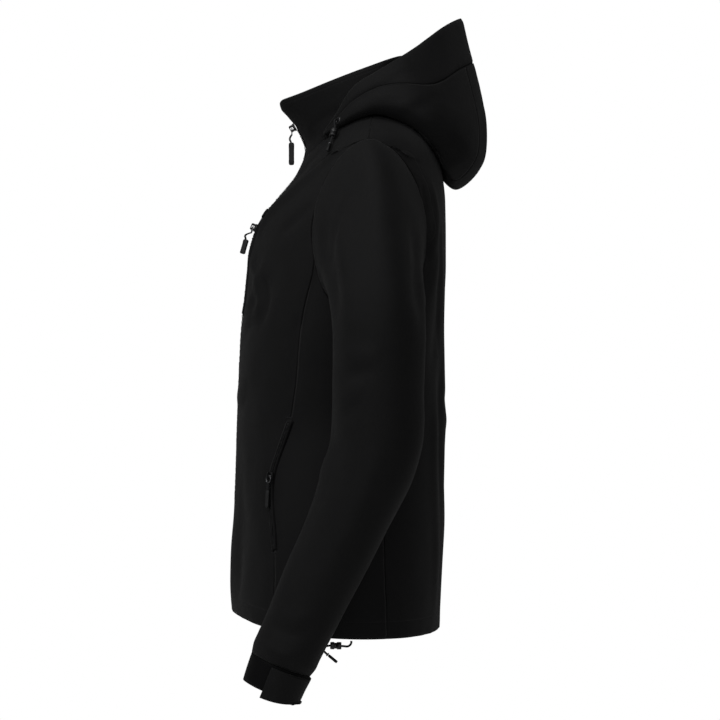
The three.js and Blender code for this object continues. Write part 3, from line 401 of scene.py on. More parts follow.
@dataclass(frozen=True)
class Softshell(Finish):
    """Bonded cloth: a dense matt knit face, rolled at its seams, with topstitching where it has any."""

    pitch: float = 0.9
    roll: float = 2.2
    flat_roll: float = 0.01
    roll_offset: float = -5.0
    stitch_offset: float = -5.0
    sheen: float = 0.03

    def made(self) -> bpy.types.Material:
        """Makes the material."""
        material, wires, shader = self.started()
        face = placed_group(wires, "cloth face", Vector=wires.place(), Pitch=self.pitch)
        edge = placed_group(
            wires, "sewn edge", Map=wires.sewn_map("seam"), Roll=self.roll, Offset=self.roll_offset,
        )
        row = placed_group(
            wires, "sewn edge", Map=wires.sewn_map("stitch"), Roll=self.flat_roll, Offset=self.stitch_offset,
        )
        self.bump(
            wires, shader, (edge.outputs["Height"], 0.0008), (row.outputs["Height"], 0.0006),
            (face.outputs["Height"], 0.00012),
        )
        worn = self.uneven(wires, shader, face.outputs["Mottle"], 0.82, 1.2, gloss=0.12)
        shade = wires.mixed(1.0, worn, edge.outputs["Shade"], "MULTIPLY")
        colour = wires.mixed(row.outputs["Thread"], shade, self.tint(2.0))
        wires.join(colour, shader.inputs["Base Color"])
        shader.inputs["Sheen Weight"].default_value = self.sheen
        shader.inputs["Sheen Roughness"].default_value = 0.45
        return material


@dataclass(frozen=True)
class Welt(Softshell):
    """Cloth lips on both sides of a zip, with painted shadow, a near-black colour, in the slit between them.
    """

    lip: float = 3.8
    slit_colour: Triple = (0.0003, 0.0003, 0.0003)

    def made(self) -> bpy.types.Material:
        """Makes the material."""
        material = super().made()
        wires = Wiring(material.node_tree)
        shader = material.node_tree.nodes["Principled BSDF"]
        distance = wires.add("SeparateXYZ", Vector=wires.sewn_map("seam")).outputs[1]
        across = wires.math("MULTIPLY", distance, 1000.0)
        # Painted shadow: past the lips the colour turns near-black, where the slit between them lies in shade.
        slit = wires.ramp(across, self.lip - 0.2, self.lip + 0.6)
        cloth = shader.inputs["Base Color"].links[0].from_socket
        wires.join(wires.mixed(slit, cloth, (*self.slit_colour, 1)), shader.inputs["Base Color"])
        return material


@dataclass(frozen=True)
class HardTrim(Finish):
    """Moulded plastic or painted metal, a little uneven where it is handled."""

    grain: float = 1400.0
    depth: float = 0.00004

    def made(self) -> bpy.types.Material:
        """Makes the material."""
        material, wires, shader = self.started()
        handled = placed_group(wires, "handled surface", Vector=wires.place(), Scale=self.grain)
        self.bump(wires, shader, (handled.outputs["Height"], self.depth))
        self.uneven(wires, shader, handled.outputs["Wear"], 0.85, 1.25, gloss=0.16)
        return material


@dataclass(frozen=True)
class Backdrop(Finish):
    """A plain, faintly uneven paper."""

    def made(self) -> bpy.types.Material:
        """Makes the material."""
        material, wires, shader = self.started()
        grain = wires.add("TexNoise", Vector=wires.place(), Scale=400.0, Detail=2.0)
        self.bump(wires, shader, (grain.outputs[0], 0.0001))
        return material


@dataclass(frozen=True)
class Woven(Finish):
    """A braid or a woven tape, with ribs slantwise over it."""

    ribs: float = 1.1

    def made(self) -> bpy.types.Material:
        """Makes the material."""
        material, wires, shader = self.started()
        face = placed_group(wires, "cloth face", Vector=wires.place(), Pitch=self.ribs)
        self.bump(wires, shader, (face.outputs["Height"], 0.0003))
        self.uneven(wires, shader, face.outputs["Mottle"], 0.6, 1.5)
        return material


CLOTH_COLOUR = (0.0058, 0.0058, 0.0060)
SOFTSHELL = Softshell("softshell", CLOTH_COLOUR, 0.6, specular=0.08)
HEMMED = Softshell("softshell hemmed", CLOTH_COLOUR, 0.6, specular=0.08, stitch_offset=20.0)
EDGED = Softshell("softshell edged", CLOTH_COLOUR, 0.6, specular=0.08, stitch_offset=6.0)
# The cuff's colour is darker than the rest of the cloth as painted shade, for the cuff that sits stepped back
# behind its strap.
CUFF_PAINTED_SHADE = Softshell(
    "cuff binding", (0.0024, 0.0024, 0.0026), 0.68, specular=0.05, stitch_offset=3.0, pitch=2.6,
)
WELT = Welt("pocket welt", CLOTH_COLOUR, 0.6, specular=0.08)
ZIP_TAPE = Woven("zip tape", (0.006, 0.006, 0.0065), 0.8, specular=0.2, ribs=1.3)
COIL = HardTrim("zip coil", (0.006, 0.006, 0.0065), 0.45, specular=0.25)
BRAID = Woven("braid", (0.011, 0.011, 0.012), 0.75, specular=0.25, ribs=1.0)
MOULDED = HardTrim("moulded trim", (0.009, 0.009, 0.0095), 0.4, specular=0.4)
DARK_PATCH = Woven("garage patch", (0.005, 0.005, 0.0053), 0.62, specular=0.1, ribs=0.9)
GREY_GRIP = HardTrim("grey grip", (0.010, 0.010, 0.0105), 0.55, specular=0.2)
PAINTED = HardTrim("painted metal", (0.012, 0.012, 0.013), 0.36, specular=0.5, metallic=0.3)
BRIGHT_RING = HardTrim("bright ring", (0.12, 0.12, 0.125), 0.32, specular=0.6, metallic=0.9)
MADE: dict[Finish, bpy.types.Material] = {}


def dress(piece: bpy.types.Object, finish: Finish) -> None:
    """Gives a piece one finish all over.

    Args:
        piece: the object.
        finish: its finish, made once and shared.
    """
    if finish not in MADE:
        MADE[finish] = finish.made()
    piece.data.materials.clear()
    piece.data.materials.append(MADE[finish])


# ---------------------------------------------------------------- meshes


def merged_copy(node: str) -> bmesh.types.BMesh:
    """A copy of a node's loose triangles, merged, in a new bmesh."""
    mesh = bmesh.new()
    mesh.from_mesh(bpy.data.objects[node].data)
    bmesh.ops.remove_doubles(mesh, verts=mesh.verts, dist=MERGED_MM * MM)
    mesh.normal_update()
    return mesh


def as_object(mesh: bmesh.types.BMesh, name: str, smooth: bool = True) -> bpy.types.Object:
    """Makes an object of a bmesh and frees it.

    Args:
        mesh: the bmesh, in place.
        name: the object's name.
        smooth: whether its faces are shaded smooth.

    Returns:
        The object, linked to the scene.
    """
    data = bpy.data.meshes.new(name)
    mesh.to_mesh(data)
    mesh.free()
    data.polygons.foreach_set("use_smooth", [smooth] * len(data.polygons))
    piece = bpy.data.objects.new(name, data)
    bpy.context.scene.collection.objects.link(piece)
    return piece


def settled(piece: bpy.types.Object) -> None:
    """Applies an object's modifiers to its mesh."""
    graph = bpy.context.evaluated_depsgraph_get()
    data = bpy.data.meshes.new_from_object(piece.evaluated_get(graph))
    piece.modifiers.clear()
    piece.data = data


def coordinates(data: bpy.types.Mesh, kind: str = "co") -> np.ndarray:
    """The places of a mesh's vertices, or another triple of theirs, a row for each."""
    values = np.empty(len(data.vertices) * 3, np.float64)
    data.vertices.foreach_get(kind, values)
    return values.reshape(-1, 3)


def set_coordinates(data: bpy.types.Mesh, values: np.ndarray) -> None:
    """Moves a mesh's vertices."""
    data.vertices.foreach_set("co", values.reshape(-1))
    data.update()


def joined_surface(pieces: list[bpy.types.Object]) -> BVHTree:
    """One searchable surface of several pieces."""
    points, faces = [], []
    for piece in pieces:
        first = len(points)
        points.extend(v.co.copy() for v in piece.data.vertices)
        faces.extend([first + i for i in p.vertices] for p in piece.data.polygons)
    return BVHTree.FromPolygons(points, faces)


def eased(values: np.ndarray) -> np.ndarray:
    """A smooth step from 0 to 1 as the values go from 0 to 1."""
    part = np.clip(values, 0, 1)
    return part * part * (3 - 2 * part)


def nearest_on(points: np.ndarray, starts: np.ndarray, ways: np.ndarray) -> tuple[np.ndarray, np.ndarray]:
    """Finds the nearest place on short straight lengths.

    Args:
        points: a point in each row.
        starts: where each point's length starts, or one start for all.
        ways: the way from there to its end, or one way for all.

    Returns:
        How far along its length each nearest place is, from 0 to 1, and how far away.
    """
    squared = np.maximum((ways * ways).sum(-1), 1e-12)
    part = np.clip(((points - starts) * ways).sum(-1) / squared, 0, 1)
    return part, np.linalg.norm(points - starts - part[:, None] * ways, axis=1)


def bump_shape(away: np.ndarray, width: float) -> np.ndarray:
    """A soft bump that is 1 at no distance and falls off over a width."""
    return np.exp(-((away / width) ** 2))


def axes(across: Vector, inward: Vector, up: Vector) -> Matrix:
    """A turn whose X, Y and Z are the given ways."""
    return Matrix((across, inward, up)).transposed().to_4x4()


def aimed(place: Vector, way: Vector) -> Matrix:
    """A frame at a place, with its Z along a way."""
    return Matrix.Translation(place) @ way.to_track_quat("Z", "Y").to_matrix().to_4x4()


def round_curve(name: str, points: list[Vector], radius: float, fineness: int, steps: int) -> bpy.types.Curve:
    """A smooth round curve through points.

    Args:
        name: its name.
        points: the points of its middle line.
        radius: its radius, in the points' unit.
        fineness: how finely it is round.
        steps: how many lengths there are between two points.

    Returns:
        The curve, with closed ends.
    """
    data = bpy.data.curves.new(name, "CURVE")
    data.dimensions = "3D"
    data.bevel_depth = radius
    data.bevel_resolution = fineness
    data.use_fill_caps = True
    spline = data.splines.new("BEZIER")
    spline.bezier_points.add(len(points) - 1)
    spline.resolution_u = steps
    for knot, point in zip(spline.bezier_points, points):
        knot.co = point
        knot.handle_left_type = knot.handle_right_type = "AUTO"
    return data


def keep_outer_face(mesh: bmesh.types.BMesh, inside: Pair | None, sharp: float) -> None:
    """Leaves only the outer face of a wall.

    Args:
        mesh: the closed wall.
        inside: the (x, y) of an upright line inside the hollow, or None to keep the larger face.
        sharp: the least angle in degrees at which one face of the wall ends.
    """
    unseen = set(mesh.faces)
    sheets: list[list[bmesh.types.BMFace]] = []
    while unseen:
        found = [unseen.pop()]
        for face in found:
            for edge in face.edges:
                for other in edge.link_faces:
                    if other in unseen and edge.calc_face_angle(math.pi) < math.radians(sharp):
                        unseen.discard(other)
                        found.append(other)
        sheets.append(found)

    def outward(faces: list[bmesh.types.BMFace]) -> float:
        """How much area faces away from the line inside."""
        line = Vector((inside[0], inside[1], 0))
        ways = ((f, (f.calc_center_median() - line).xy.normalized()) for f in faces)
        return sum(f.calc_area() * f.normal.xy.dot(way) for f, way in ways)

    size = (lambda faces: sum(f.calc_area() for f in faces)) if inside is None else outward
    kept = set(max(sheets, key=size))
    bmesh.ops.delete(mesh, geom=[f for f in mesh.faces if f not in kept], context="FACES")


def rounded(piece: bpy.types.Object, levels: int) -> None:
    """Turns a coarse face into a smooth one that still goes through all its points.

    Args:
        piece: the object, whose mesh is replaced.
        levels: how many times each face is halved.
    """
    wanted = coordinates(piece.data)
    modifier = piece.modifiers.new("round", "SUBSURF")
    modifier.levels = modifier.render_levels = levels
    modifier.boundary_smooth = "PRESERVE_CORNERS"
    for _ in range(3):
        graph = bpy.context.evaluated_depsgraph_get()
        reached = coordinates(piece.evaluated_get(graph).data)[:len(wanted)]
        set_coordinates(piece.data, coordinates(piece.data) + wanted - reached)
        piece.data.update_tag()
    settled(piece)


def let_out(data: bpy.types.Mesh, width: float) -> None:
    """Moves a panel's edges outwards in its own surface, to meet its neighbour at the seam.

    Args:
        data: the panel's mesh.
        width: how far, in mm.
    """
    mesh = bmesh.new()
    mesh.from_mesh(data)
    ways: dict[bmesh.types.BMVert, Vector] = {}
    for edge in mesh.edges:
        if edge.is_boundary:
            first, last = edge.verts
            along = (last.co - first.co).normalized()
            inward = edge.link_faces[0].calc_center_median() - (first.co + last.co) / 2
            outward = -(inward - along * inward.dot(along)).normalized()
            for vertex in edge.verts:
                ways[vertex] = ways.get(vertex, Vector()) + outward
    for vertex, way in ways.items():
        vertex.co += way.normalized() * width * MM
    mesh.to_mesh(data)
    mesh.free()


@dataclass
class Border:
    """The short lengths of a panel's edge, with how far along the edge each starts."""

    starts: np.ndarray
    ends: np.ndarray
    along: np.ndarray

    @classmethod
    def of(cls, data: bpy.types.Mesh, edge: Edge) -> "Border":
        """Reads a panel's edges.

        Args:
            data: the panel's mesh.
            edge: NONE for every edge, or only those along the panel's foot or top.

        Returns:
            The border.
        """
        mesh = bmesh.new()
        mesh.from_mesh(data)
        waiting = {e for e in mesh.edges if e.is_boundary}
        rows: list[tuple[Vector, Vector, float]] = []
        gone = 0.0
        while waiting:
            current = min(waiting, key=lambda e: e.index)
            vertex = current.verts[0]
            while current is not None:
                waiting.discard(current)
                following = current.other_vert(vertex)
                inward = current.link_faces[0].calc_center_median() - (vertex.co + following.co) / 2
                if edge is Edge.NONE or -edge.value * inward.z > 0.72 * inward.length:
                    rows.append((vertex.co.copy(), following.co.copy(), gone))
                gone += current.calc_length()
                vertex = following
                current = next((e for e in vertex.link_edges if e in waiting), None)
        mesh.free()
        starts, ends, along = zip(*rows) if rows else ((), (), ())
        return cls(np.array(starts).reshape(-1, 3), np.array(ends).reshape(-1, 3), np.array(along))

    def nearest(self, points: np.ndarray) -> tuple[np.ndarray, np.ndarray]:
        """For each point, how far along the border its nearest point is, and how far away."""
        middles = (self.starts + self.ends) / 2
        tree = KDTree(len(middles))
        for i, middle in enumerate(middles):
            tree.insert(Vector(middle), i)
        tree.balance()
        near = np.array([tree.find(Vector(p))[1] for p in points])
        best = np.full(len(points), np.inf)
        along = np.zeros(len(points))
        for shift in (-1, 0, 1):
            k = np.clip(near + shift, 0, len(middles) - 1)
            way = self.ends[k] - self.starts[k]
            part, away = nearest_on(points, self.starts[k], way)
            closer = away < best
            best[closer] = away[closer]
            along[closer] = (self.along[k] + np.linalg.norm(way, axis=1) * part)[closer]
        return along, best


def set_map(data: bpy.types.Mesh, name: str, along: np.ndarray, distance: np.ndarray) -> None:
    """Writes (along, distance) from each vertex to a map on a mesh's corners."""
    layer = data.uv_layers.new(name=name)
    corners = np.empty(len(data.loops), np.int32)
    data.loops.foreach_get("vertex_index", corners)
    layer.data.foreach_set("uv", np.stack([along, distance], 1)[corners].reshape(-1))


# ---------------------------------------------------------------- creases


@dataclass(frozen=True)
class Crease:
    """A soft ridge or trough given as points of one view, its height and half its width, in mm."""

    seen: Seen
    points: list[Pair]
    height: float
    width: float

    def place(self, u: float, v: float) -> Vector:
        """A point in front of the jacket on the line of sight through (u, v)."""
        way = Vector(self.seen.value)
        if self.seen is Seen.ABOVE:
            return Vector((u, v, 0)) * MM - way
        across = Vector((u, 0, 0)) if way.y else Vector((0, u, 0))
        return (across + Vector((0, 0, v))) * MM - way


@dataclass
class Drape:
    """The creases and the fine unevenness of one part of the jacket. Sizes in mm."""

    creases: tuple[Crease, ...]
    ripple: float = 0.5
    fine_share: float = 0.35
    pucker: float = 0.35
    pucker_reach: float = 9.0
    wave_sizes: Triple = (110, 45, 16)
    wave_count: int = 9
    seed: int = 7
    paths: list[tuple[np.ndarray, float, float]] = field(default_factory=list)

    def cast(self, panels: list[bpy.types.Object]) -> None:
        """Finds where the creases lie on the panels."""
        tree = joined_surface(panels)
        for crease in self.creases:
            line = self.curve(crease.points)
            hits = [tree.ray_cast(crease.place(u, v), Vector(crease.seen.value))[0] for u, v in line]
            hits = [hit for hit in hits if hit is not None]
            if len(hits) > 1:
                self.paths.append((np.array(hits), crease.height * MM, crease.width * MM))
            else:
                LOG.warning("a crease misses its panels: %s", crease)

    @staticmethod
    def curve(points: list[Pair]) -> list[Pair]:
        """A smooth line of points through a few given ones."""
        ends = [points[0], *points, points[-1]]
        line = []
        for a, b, c, d in zip(ends, ends[1:], ends[2:], ends[3:]):
            p, q, r, s = (np.array(point, float) for point in (a, b, c, d))
            for t in np.linspace(0, 1, 6, endpoint=False):
                squared = (2 * p - 5 * q + 4 * r - s) * t**2
                cubed = (3 * q - p - 3 * r + s) * t**3
                line.append(tuple(0.5 * (2 * q + (r - p) * t + squared + cubed)))
        return [*line, points[-1]]

    def waves(self, points: np.ndarray, size: float, seed: int) -> np.ndarray:
        """A gentle uneven field from about -1 to 1, whose bumps are size across, in mm."""
        draw = random.Random(seed)
        total = np.zeros(len(points))
        for _ in range(self.wave_count):
            way = Vector([draw.gauss(0, 1) for _ in range(3)]).normalized()
            way = way * math.tau / (size * MM * draw.uniform(0.7, 1.6))
            total += np.sin(points @ np.array(way) + draw.uniform(0, 6.3))
        return total * 2 / self.wave_count

    def heights(self, points: np.ndarray, from_seam: np.ndarray) -> np.ndarray:
        """How far each point moves outwards.

        Args:
            points: the points.
            from_seam: how far each is from its panel's edge.

        Returns:
            A height for each, in metres.
        """
        broad, fine, short = (
            self.waves(points, size, self.seed + i) for i, size in enumerate(self.wave_sizes)
        )
        total = self.ripple * MM * (broad + self.fine_share * fine)
        total += self.pucker * MM * short * np.exp(-from_seam / (self.pucker_reach * MM))
        for path, height, width in self.paths:
            low, high = path.min(0) - 3 * width, path.max(0) + 3 * width
            near = np.flatnonzero(((points > low) & (points < high)).all(1))
            if not len(near):
                continue
            best = np.full(len(near), np.inf)
            share = np.zeros(len(near))
            for i, (a, b) in enumerate(zip(path, path[1:])):
                part, away = nearest_on(points[near], a, b - a)
                closer = away < best
                best[closer] = away[closer]
                share[closer] = ((i + part) / (len(path) - 1))[closer]
            taper = np.sin(np.pi * np.clip(share, 0.02, 0.98)) ** 0.7
            total[near] += height * taper * bump_shape(best, width * (0.6 + 0.4 * taper))
        return total


# ---------------------------------------------------------------- cloth


@dataclass(frozen=True)
class Lips:
    """The cross-section of a pocket's lips and slit, by the distance from the tape's edge. Sizes in mm."""

    rise: float = 0.2
    rim_depth: float = 2.1
    rim_width: float = 3.2
    slit_start: float = 3.7
    slit_width: float = 0.7
    slit_depth: float = 1.7

    def heights(self, away: np.ndarray) -> np.ndarray:
        """How far each point moves outwards, in metres."""
        rim = eased(1 - away / (self.rim_width * MM))
        slit = eased((away - self.slit_start * MM) / (self.slit_width * MM))
        return (self.rise - self.rim_depth * rim - self.slit_depth * slit) * MM


@dataclass(frozen=True)
class SoftCorner:
    """A collar's front corner, brought forward and rounded. Sizes in mm."""

    forward: float = 7.5
    reach: float = 24.0
    radius: float = 10.0
    along: Triple = (0.0, 0.92, 0.39)
    down: Triple = (0.0, 0.42, -0.91)

    def shape(self, data: bpy.types.Mesh, side: Side) -> None:
        """Rounds the corner of one side's leaf.

        Args:
            data: the leaf's mesh.
            side: the wearer's side of the corner.
        """
        points = coordinates(data)
        mine = points[:, 0] * side.value > 0
        ways = np.array((self.along, self.down))
        tip = points[mine][np.argmax(-points[mine] @ ways.sum(0))]
        fall = bump_shape(np.linalg.norm(points - tip, axis=1), self.reach * MM) * mine
        points[:, 1] -= fall * self.forward * MM
        tip = tip - np.array((0, self.forward * MM, 0))
        across = np.clip(1 - (points - tip) @ ways.T / (self.radius * MM), 0, 1)
        inner = across * (across.max(1) / np.maximum(np.linalg.norm(across, axis=1), 1e-9))[:, None]
        near = mine & (across > 0).all(1)
        points[near] += ((across - inner) @ ways)[near] * self.radius * MM
        set_coordinates(data, points)


@dataclass
class Panel:
    """One piece of cloth or tape. Cloth has a flat size in metres, a tape has none."""

    node: str
    flat: Pair | None = None
    share: float = 1.0
    wall: float = 1.8
    finish: Finish = SOFTSHELL
    stitched: Edge = Edge.NONE
    inside: Pair | None = None
    levels: int = 3
    sharp: float = 62
    held: str = "hung"
    rests_on: tuple[str, ...] = ()
    slot: str = "softshell"
    lips: Lips | None = None
    rolled: float = 0.0
    roll_reach: float = 3.0
    piece: bpy.types.Object | None = None

    def build(self) -> None:
        """Makes the panel's smooth outer face."""
        mesh = merged_copy(self.node)
        keep_outer_face(mesh, self.inside, self.sharp)
        bmesh.ops.join_triangles(
            mesh, faces=mesh.faces, angle_face_threshold=math.radians(50),
            angle_shape_threshold=math.radians(80),
        )
        self.piece = as_object(mesh, f"cloth_{self.node}")
        rounded(self.piece, self.levels)
        let_out(self.piece.data, SEAM_GAP_MM)

    def drape(self, drape: Drape) -> None:
        """Creases the face, maps its edges and gives it its thickness."""
        data = self.piece.data
        points = coordinates(data)
        along, away = Border.of(data, Edge.NONE).nearest(points)
        set_map(data, "seam", along, away)
        if self.stitched is not Edge.NONE:
            set_map(data, "stitch", *Border.of(data, self.stitched).nearest(points))
        heights = drape.heights(points, away)
        if self.lips:
            heights += self.lips.heights(away)
        heights -= self.rolled * MM * bump_shape(away, self.roll_reach * MM)
        set_coordinates(data, points + coordinates(data, "normal") * heights[:, None])
        wall = self.piece.modifiers.new("wall", "SOLIDIFY")
        wall.thickness = self.wall * MM
        wall.offset = -1

    def declare(self) -> None:
        """Dresses the panel, hangs it on the jacket and logs its faces."""
        dress(self.piece, self.finish)
        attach(self.piece, JACKET)
        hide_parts(self.node)
        LOG.info("%s has %d faces", self.piece.name, len(self.piece.data.polygons))


@dataclass
class ClothPart:
    """Panels that are creased together."""

    panels: list[Panel]
    drape: Drape

    def build(self) -> None:
        """Makes, creases and declares every panel."""
        for panel in self.panels:
            panel.build()
        self.drape.cast([panel.piece for panel in self.panels if panel.flat])
        for panel in self.panels:
            panel.drape(self.drape)
            panel.declare()

    def piece(self, node: str) -> bpy.types.Object:
        """The piece that stands for a node."""
        return next(panel.piece for panel in self.panels if panel.node == node)


def creases(seen: Seen, *rows: tuple) -> tuple[Crease, ...]:
    """Creases placed from one side, each as (height, half its width, its points)."""
    return tuple(Crease(seen, points, height, width) for height, width, *points in rows)


@dataclass
class Body(ClothPart):
    """Fronts, side panels, back and the zips sewn into them."""

    panels: list[Panel] = field(default_factory=lambda: Body.cut())
    drape: Drape = field(default_factory=lambda: Drape(BODY_CREASES, ripple=0.7, seed=11))

    @staticmethod
    def cut() -> list[Panel]:
        """The flat sizes of the body's panels."""
        core = (0.0, -0.03)
        cloth = {"finish": HEMMED, "stitched": Edge.LOWER, "inside": core}
        pocket = {"wall": 0.9, "finish": WELT, "inside": core, "slot": "tape", "lips": Lips()}
        panels = [Panel("back", (0.414, 0.675), 0.89, **cloth)]
        for side in Side:
            panels += [
                Panel(f"front_{side.word}", (0.204, 0.67), 0.81, **cloth),
                Panel(f"side_{side.word}", (0.138, 0.46), 0.79, **cloth),
                Panel(f"zip_hand_{side.word}", **pocket),
            ]
        panels += [
            Panel("zip_main", wall=1.3, finish=ZIP_TAPE, inside=core, slot="tape", levels=2),
            Panel("zip_chest", **pocket),
        ]
        return panels


@dataclass
class Sleeve(ClothPart):
    """One sleeve with its cuff and strap."""

    panels: list[Panel] = field(default_factory=list)
    drape: Drape = field(default_factory=lambda: Drape(()))
    side: Side = Side.LEFT

    @classmethod
    def cut(cls, side: Side) -> "Sleeve":
        """The flat sizes of a sleeve's panels."""
        word = side.word
        panels = [
            Panel(f"sleeve_upper_{word}", (0.265, 0.62), 0.81),
            Panel(f"sleeve_under_{word}", (0.103, 0.5), 0.8),
            Panel(f"cuff_{word}", (0.232, 0.036), 0.86, finish=CUFF_PAINTED_SHADE, stitched=Edge.LOWER),
            Panel(
                f"cuff_tab_{word}", (0.094, 0.032), 0.97, wall=1.6, finish=EDGED, rests_on=(f"cuff_{word}",),
                held="laid",
            ),
        ]
        return cls(panels, Drape(SLEEVE_CREASES[side], ripple=0.6, seed=23 + side.value), side)


@dataclass
class Collar(ClothPart):
    """The stand collar."""

    panels: list[Panel] = field(default_factory=lambda: [
        Panel("collar", (0.45, 0.085), 0.7, wall=2.4, finish=EDGED, stitched=Edge.UPPER, rolled=1.0),
    ])
    drape: Drape = field(default_factory=lambda: Drape(COLLAR_CREASES, ripple=0.4, seed=31))
    corner: SoftCorner = SoftCorner()

    def build(self) -> None:
        """Makes the collar with its two soft corners."""
        panel = self.panels[0]
        panel.build()
        for side in Side:
            self.corner.shape(panel.piece.data, side)
        self.drape.cast([panel.piece])
        panel.drape(self.drape)
        panel.declare()


@dataclass
class Hood(ClothPart):
    """The hood, hanging down behind the collar."""

    panels: list[Panel] = field(default_factory=lambda: [
        *(Panel(f"hood_side_{side.word}", (0.163, 0.297), 0.51, sharp=54) for side in Side),
        Panel("hood_crown", (0.15, 0.295), 0.7, sharp=70),
        Panel("hood_brim", (0.055, 0.53), 0.75, rolled=1.6),
    ])
    drape: Drape = field(default_factory=lambda: Drape(HOOD_CREASES, ripple=0.7, seed=41))


BODY_CREASES = (
    *creases(Seen.LEFT,
        (6.4, 9, (-32, -50), (-60, -79), (-90, -105), (-120, -131), (-136, -158)),
        (-3.2, 9, (-24, -78), (-48, -104), (-76, -130), (-106, -156)),
        (-2.4, 8, (-52, -46), (-82, -74), (-112, -103)),
    ),
    *creases(Seen.RIGHT,
        (5.6, 9, (-34, -52), (-62, -82), (-92, -108), (-118, -134)),
        (-2.8, 9, (-22, -82), (-50, -108), (-80, -134), (-104, -158)),
        (-2.0, 8, (-54, -50), (-84, -79), (-108, -104)),
    ),
    *creases(Seen.LEFT,
        (4.0, 9, (-146, -183), (-134, -214), (-132, -240), (-143, -257), (-155, -268)),
        (-2.6, 9, (-126, -206), (-122, -238), (-132, -268)),
        (-3.0, 10, (-63, -192), (-74, -235), (-86, -283), (-90, -350)),
    ),
    *creases(Seen.RIGHT,
        (-2.6, 10, (-63, -196), (-74, -240), (-85, -290), (-89, -346)),
    ),
    *creases(Seen.LEFT,
        (2.2, 9, (71, -94), (79, -135), (73, -188)),
        (-2.0, 7, (60, -100), (66, -140), (64, -190)),
        (1.6, 6, (55, -130), (58, -160), (64, -196)),
    ),
    *creases(Seen.BACK,
        (2.6, 14, (96, -250), (92, -400), (98, -600)),
        (-2.4, 12, (72, -300), (70, -430), (76, -610)),
        (2.2, 13, (-92, -270), (-98, -420), (-88, -610)),
        (-2.2, 11, (-70, -320), (-76, -450), (-66, -600)),
        (1.8, 15, (20, -330), (12, -460), (24, -615)),
        (-1.6, 14, (-14, -300), (-22, -430), (-12, -600)),
        (2.0, 10, (124, -120), (110, -190), (76, -260)),
        (-1.8, 8, (132, -150), (116, -220), (88, -300)),
        (1.9, 10, (-122, -126), (-106, -200), (-70, -262)),
        (-1.6, 8, (-134, -160), (-118, -236), (-92, -290)),
        (1.2, 9, (-60, -372), (0, -384), (66, -368)),
        (-1.2, 8, (-50, -352), (10, -362), (58, -346)),
    ),
    *creases(Seen.FRONT,
        (2.2, 11, (116, -188), (92, -236), (48, -262)),
        (-1.8, 9, (120, -214), (98, -262), (56, -292)),
        (2.0, 11, (-118, -184), (-90, -230), (-44, -250)),
        (-1.6, 9, (-122, -210), (-96, -258), (-60, -280)),
        (1.8, 12, (96, -330), (62, -352), (22, -346)),
        (-1.4, 9, (92, -356), (58, -374), (26, -370)),
        (1.5, 12, (-98, -322), (-60, -350), (-20, -342)),
        (-1.4, 9, (-94, -350), (-58, -372), (-24, -362)),
        (1.8, 15, (58, -420), (52, -500), (60, -600)),
        (-1.6, 13, (92, -440), (88, -520), (94, -605)),
        (1.6, 15, (-62, -410), (-54, -500), (-66, -604)),
        (-1.6, 12, (-96, -450), (-90, -530), (-98, -600)),
        (1.2, 8, (96, -60), (80, -96), (56, -112)),
        (1.1, 8, (-98, -58), (-82, -92), (-58, -110)),
    ),
)
LEFT_SLEEVE_CREASES = (
    *creases(Seen.LEFT,
        (-1.9, 9, (-29, -120), (-41, -160), (-44, -196)),
        (1.2, 13, (-14, -118), (-27, -158), (-34, -205)),
        (1.0, 18, (26, -150), (30, -210), (20, -280)),
        (-0.9, 15, (44, -130), (50, -190), (46, -250)),
        (1.6, 10, (-48, -286), (-20, -300), (12, -296)),
        (-1.6, 9, (-52, -306), (-26, -322), (6, -318)),
        (1.4, 10, (-60, -350), (-30, -346), (-6, -330)),
        (-1.4, 9, (-62, -374), (-36, -372), (-12, -352)),
        (1.6, 13, (10, -400), (-12, -470), (-46, -540)),
        (-1.3, 11, (-44, -430), (-66, -500), (-92, -560)),
        (1.5, 8, (-112, -582), (-88, -596), (-58, -592)),
        (-1.5, 7, (-116, -600), (-92, -613), (-66, -608)),
        (1.6, 8, (-124, -626), (-98, -636), (-74, -630)),
    ),
)
RIGHT_SLEEVE_CREASES = (
    *creases(Seen.RIGHT,
        (-1.8, 9, (-31, -126), (-42, -164), (-46, -202)),
        (1.2, 13, (-16, -124), (-30, -166), (-33, -212)),
        (1.0, 17, (24, -158), (32, -216), (18, -270)),
        (-0.8, 15, (46, -140), (49, -200), (42, -262)),
        (1.7, 10, (-50, -292), (-18, -310), (14, -302)),
        (-1.5, 9, (-54, -314), (-28, -332), (4, -326)),
        (1.4, 10, (-62, -356), (-34, -354), (-4, -340)),
        (1.5, 13, (8, -410), (-16, -480), (-48, -548)),
        (-1.3, 11, (-46, -440), (-68, -508), (-94, -570)),
        (1.4, 8, (-114, -588), (-86, -602), (-60, -596)),
        (-1.4, 7, (-118, -606), (-94, -620), (-68, -612)),
        (1.5, 8, (-126, -632), (-100, -640), (-76, -634)),
    ),
)
SLEEVE_CREASES = {Side.LEFT: LEFT_SLEEVE_CREASES, Side.RIGHT: RIGHT_SLEEVE_CREASES}
COLLAR_CREASES = (
    *creases(Seen.LEFT,
        (-1.2, 7, (-70, -20), (-52, -10), (-34, -2)),
    ),
    *creases(Seen.RIGHT,
        (-1.1, 7, (-72, -22), (-50, -9), (-30, -2)),
    ),
    *creases(Seen.FRONT,
        (0.9, 8, (30, -30), (34, -10), (30, 6)),
    ),
)
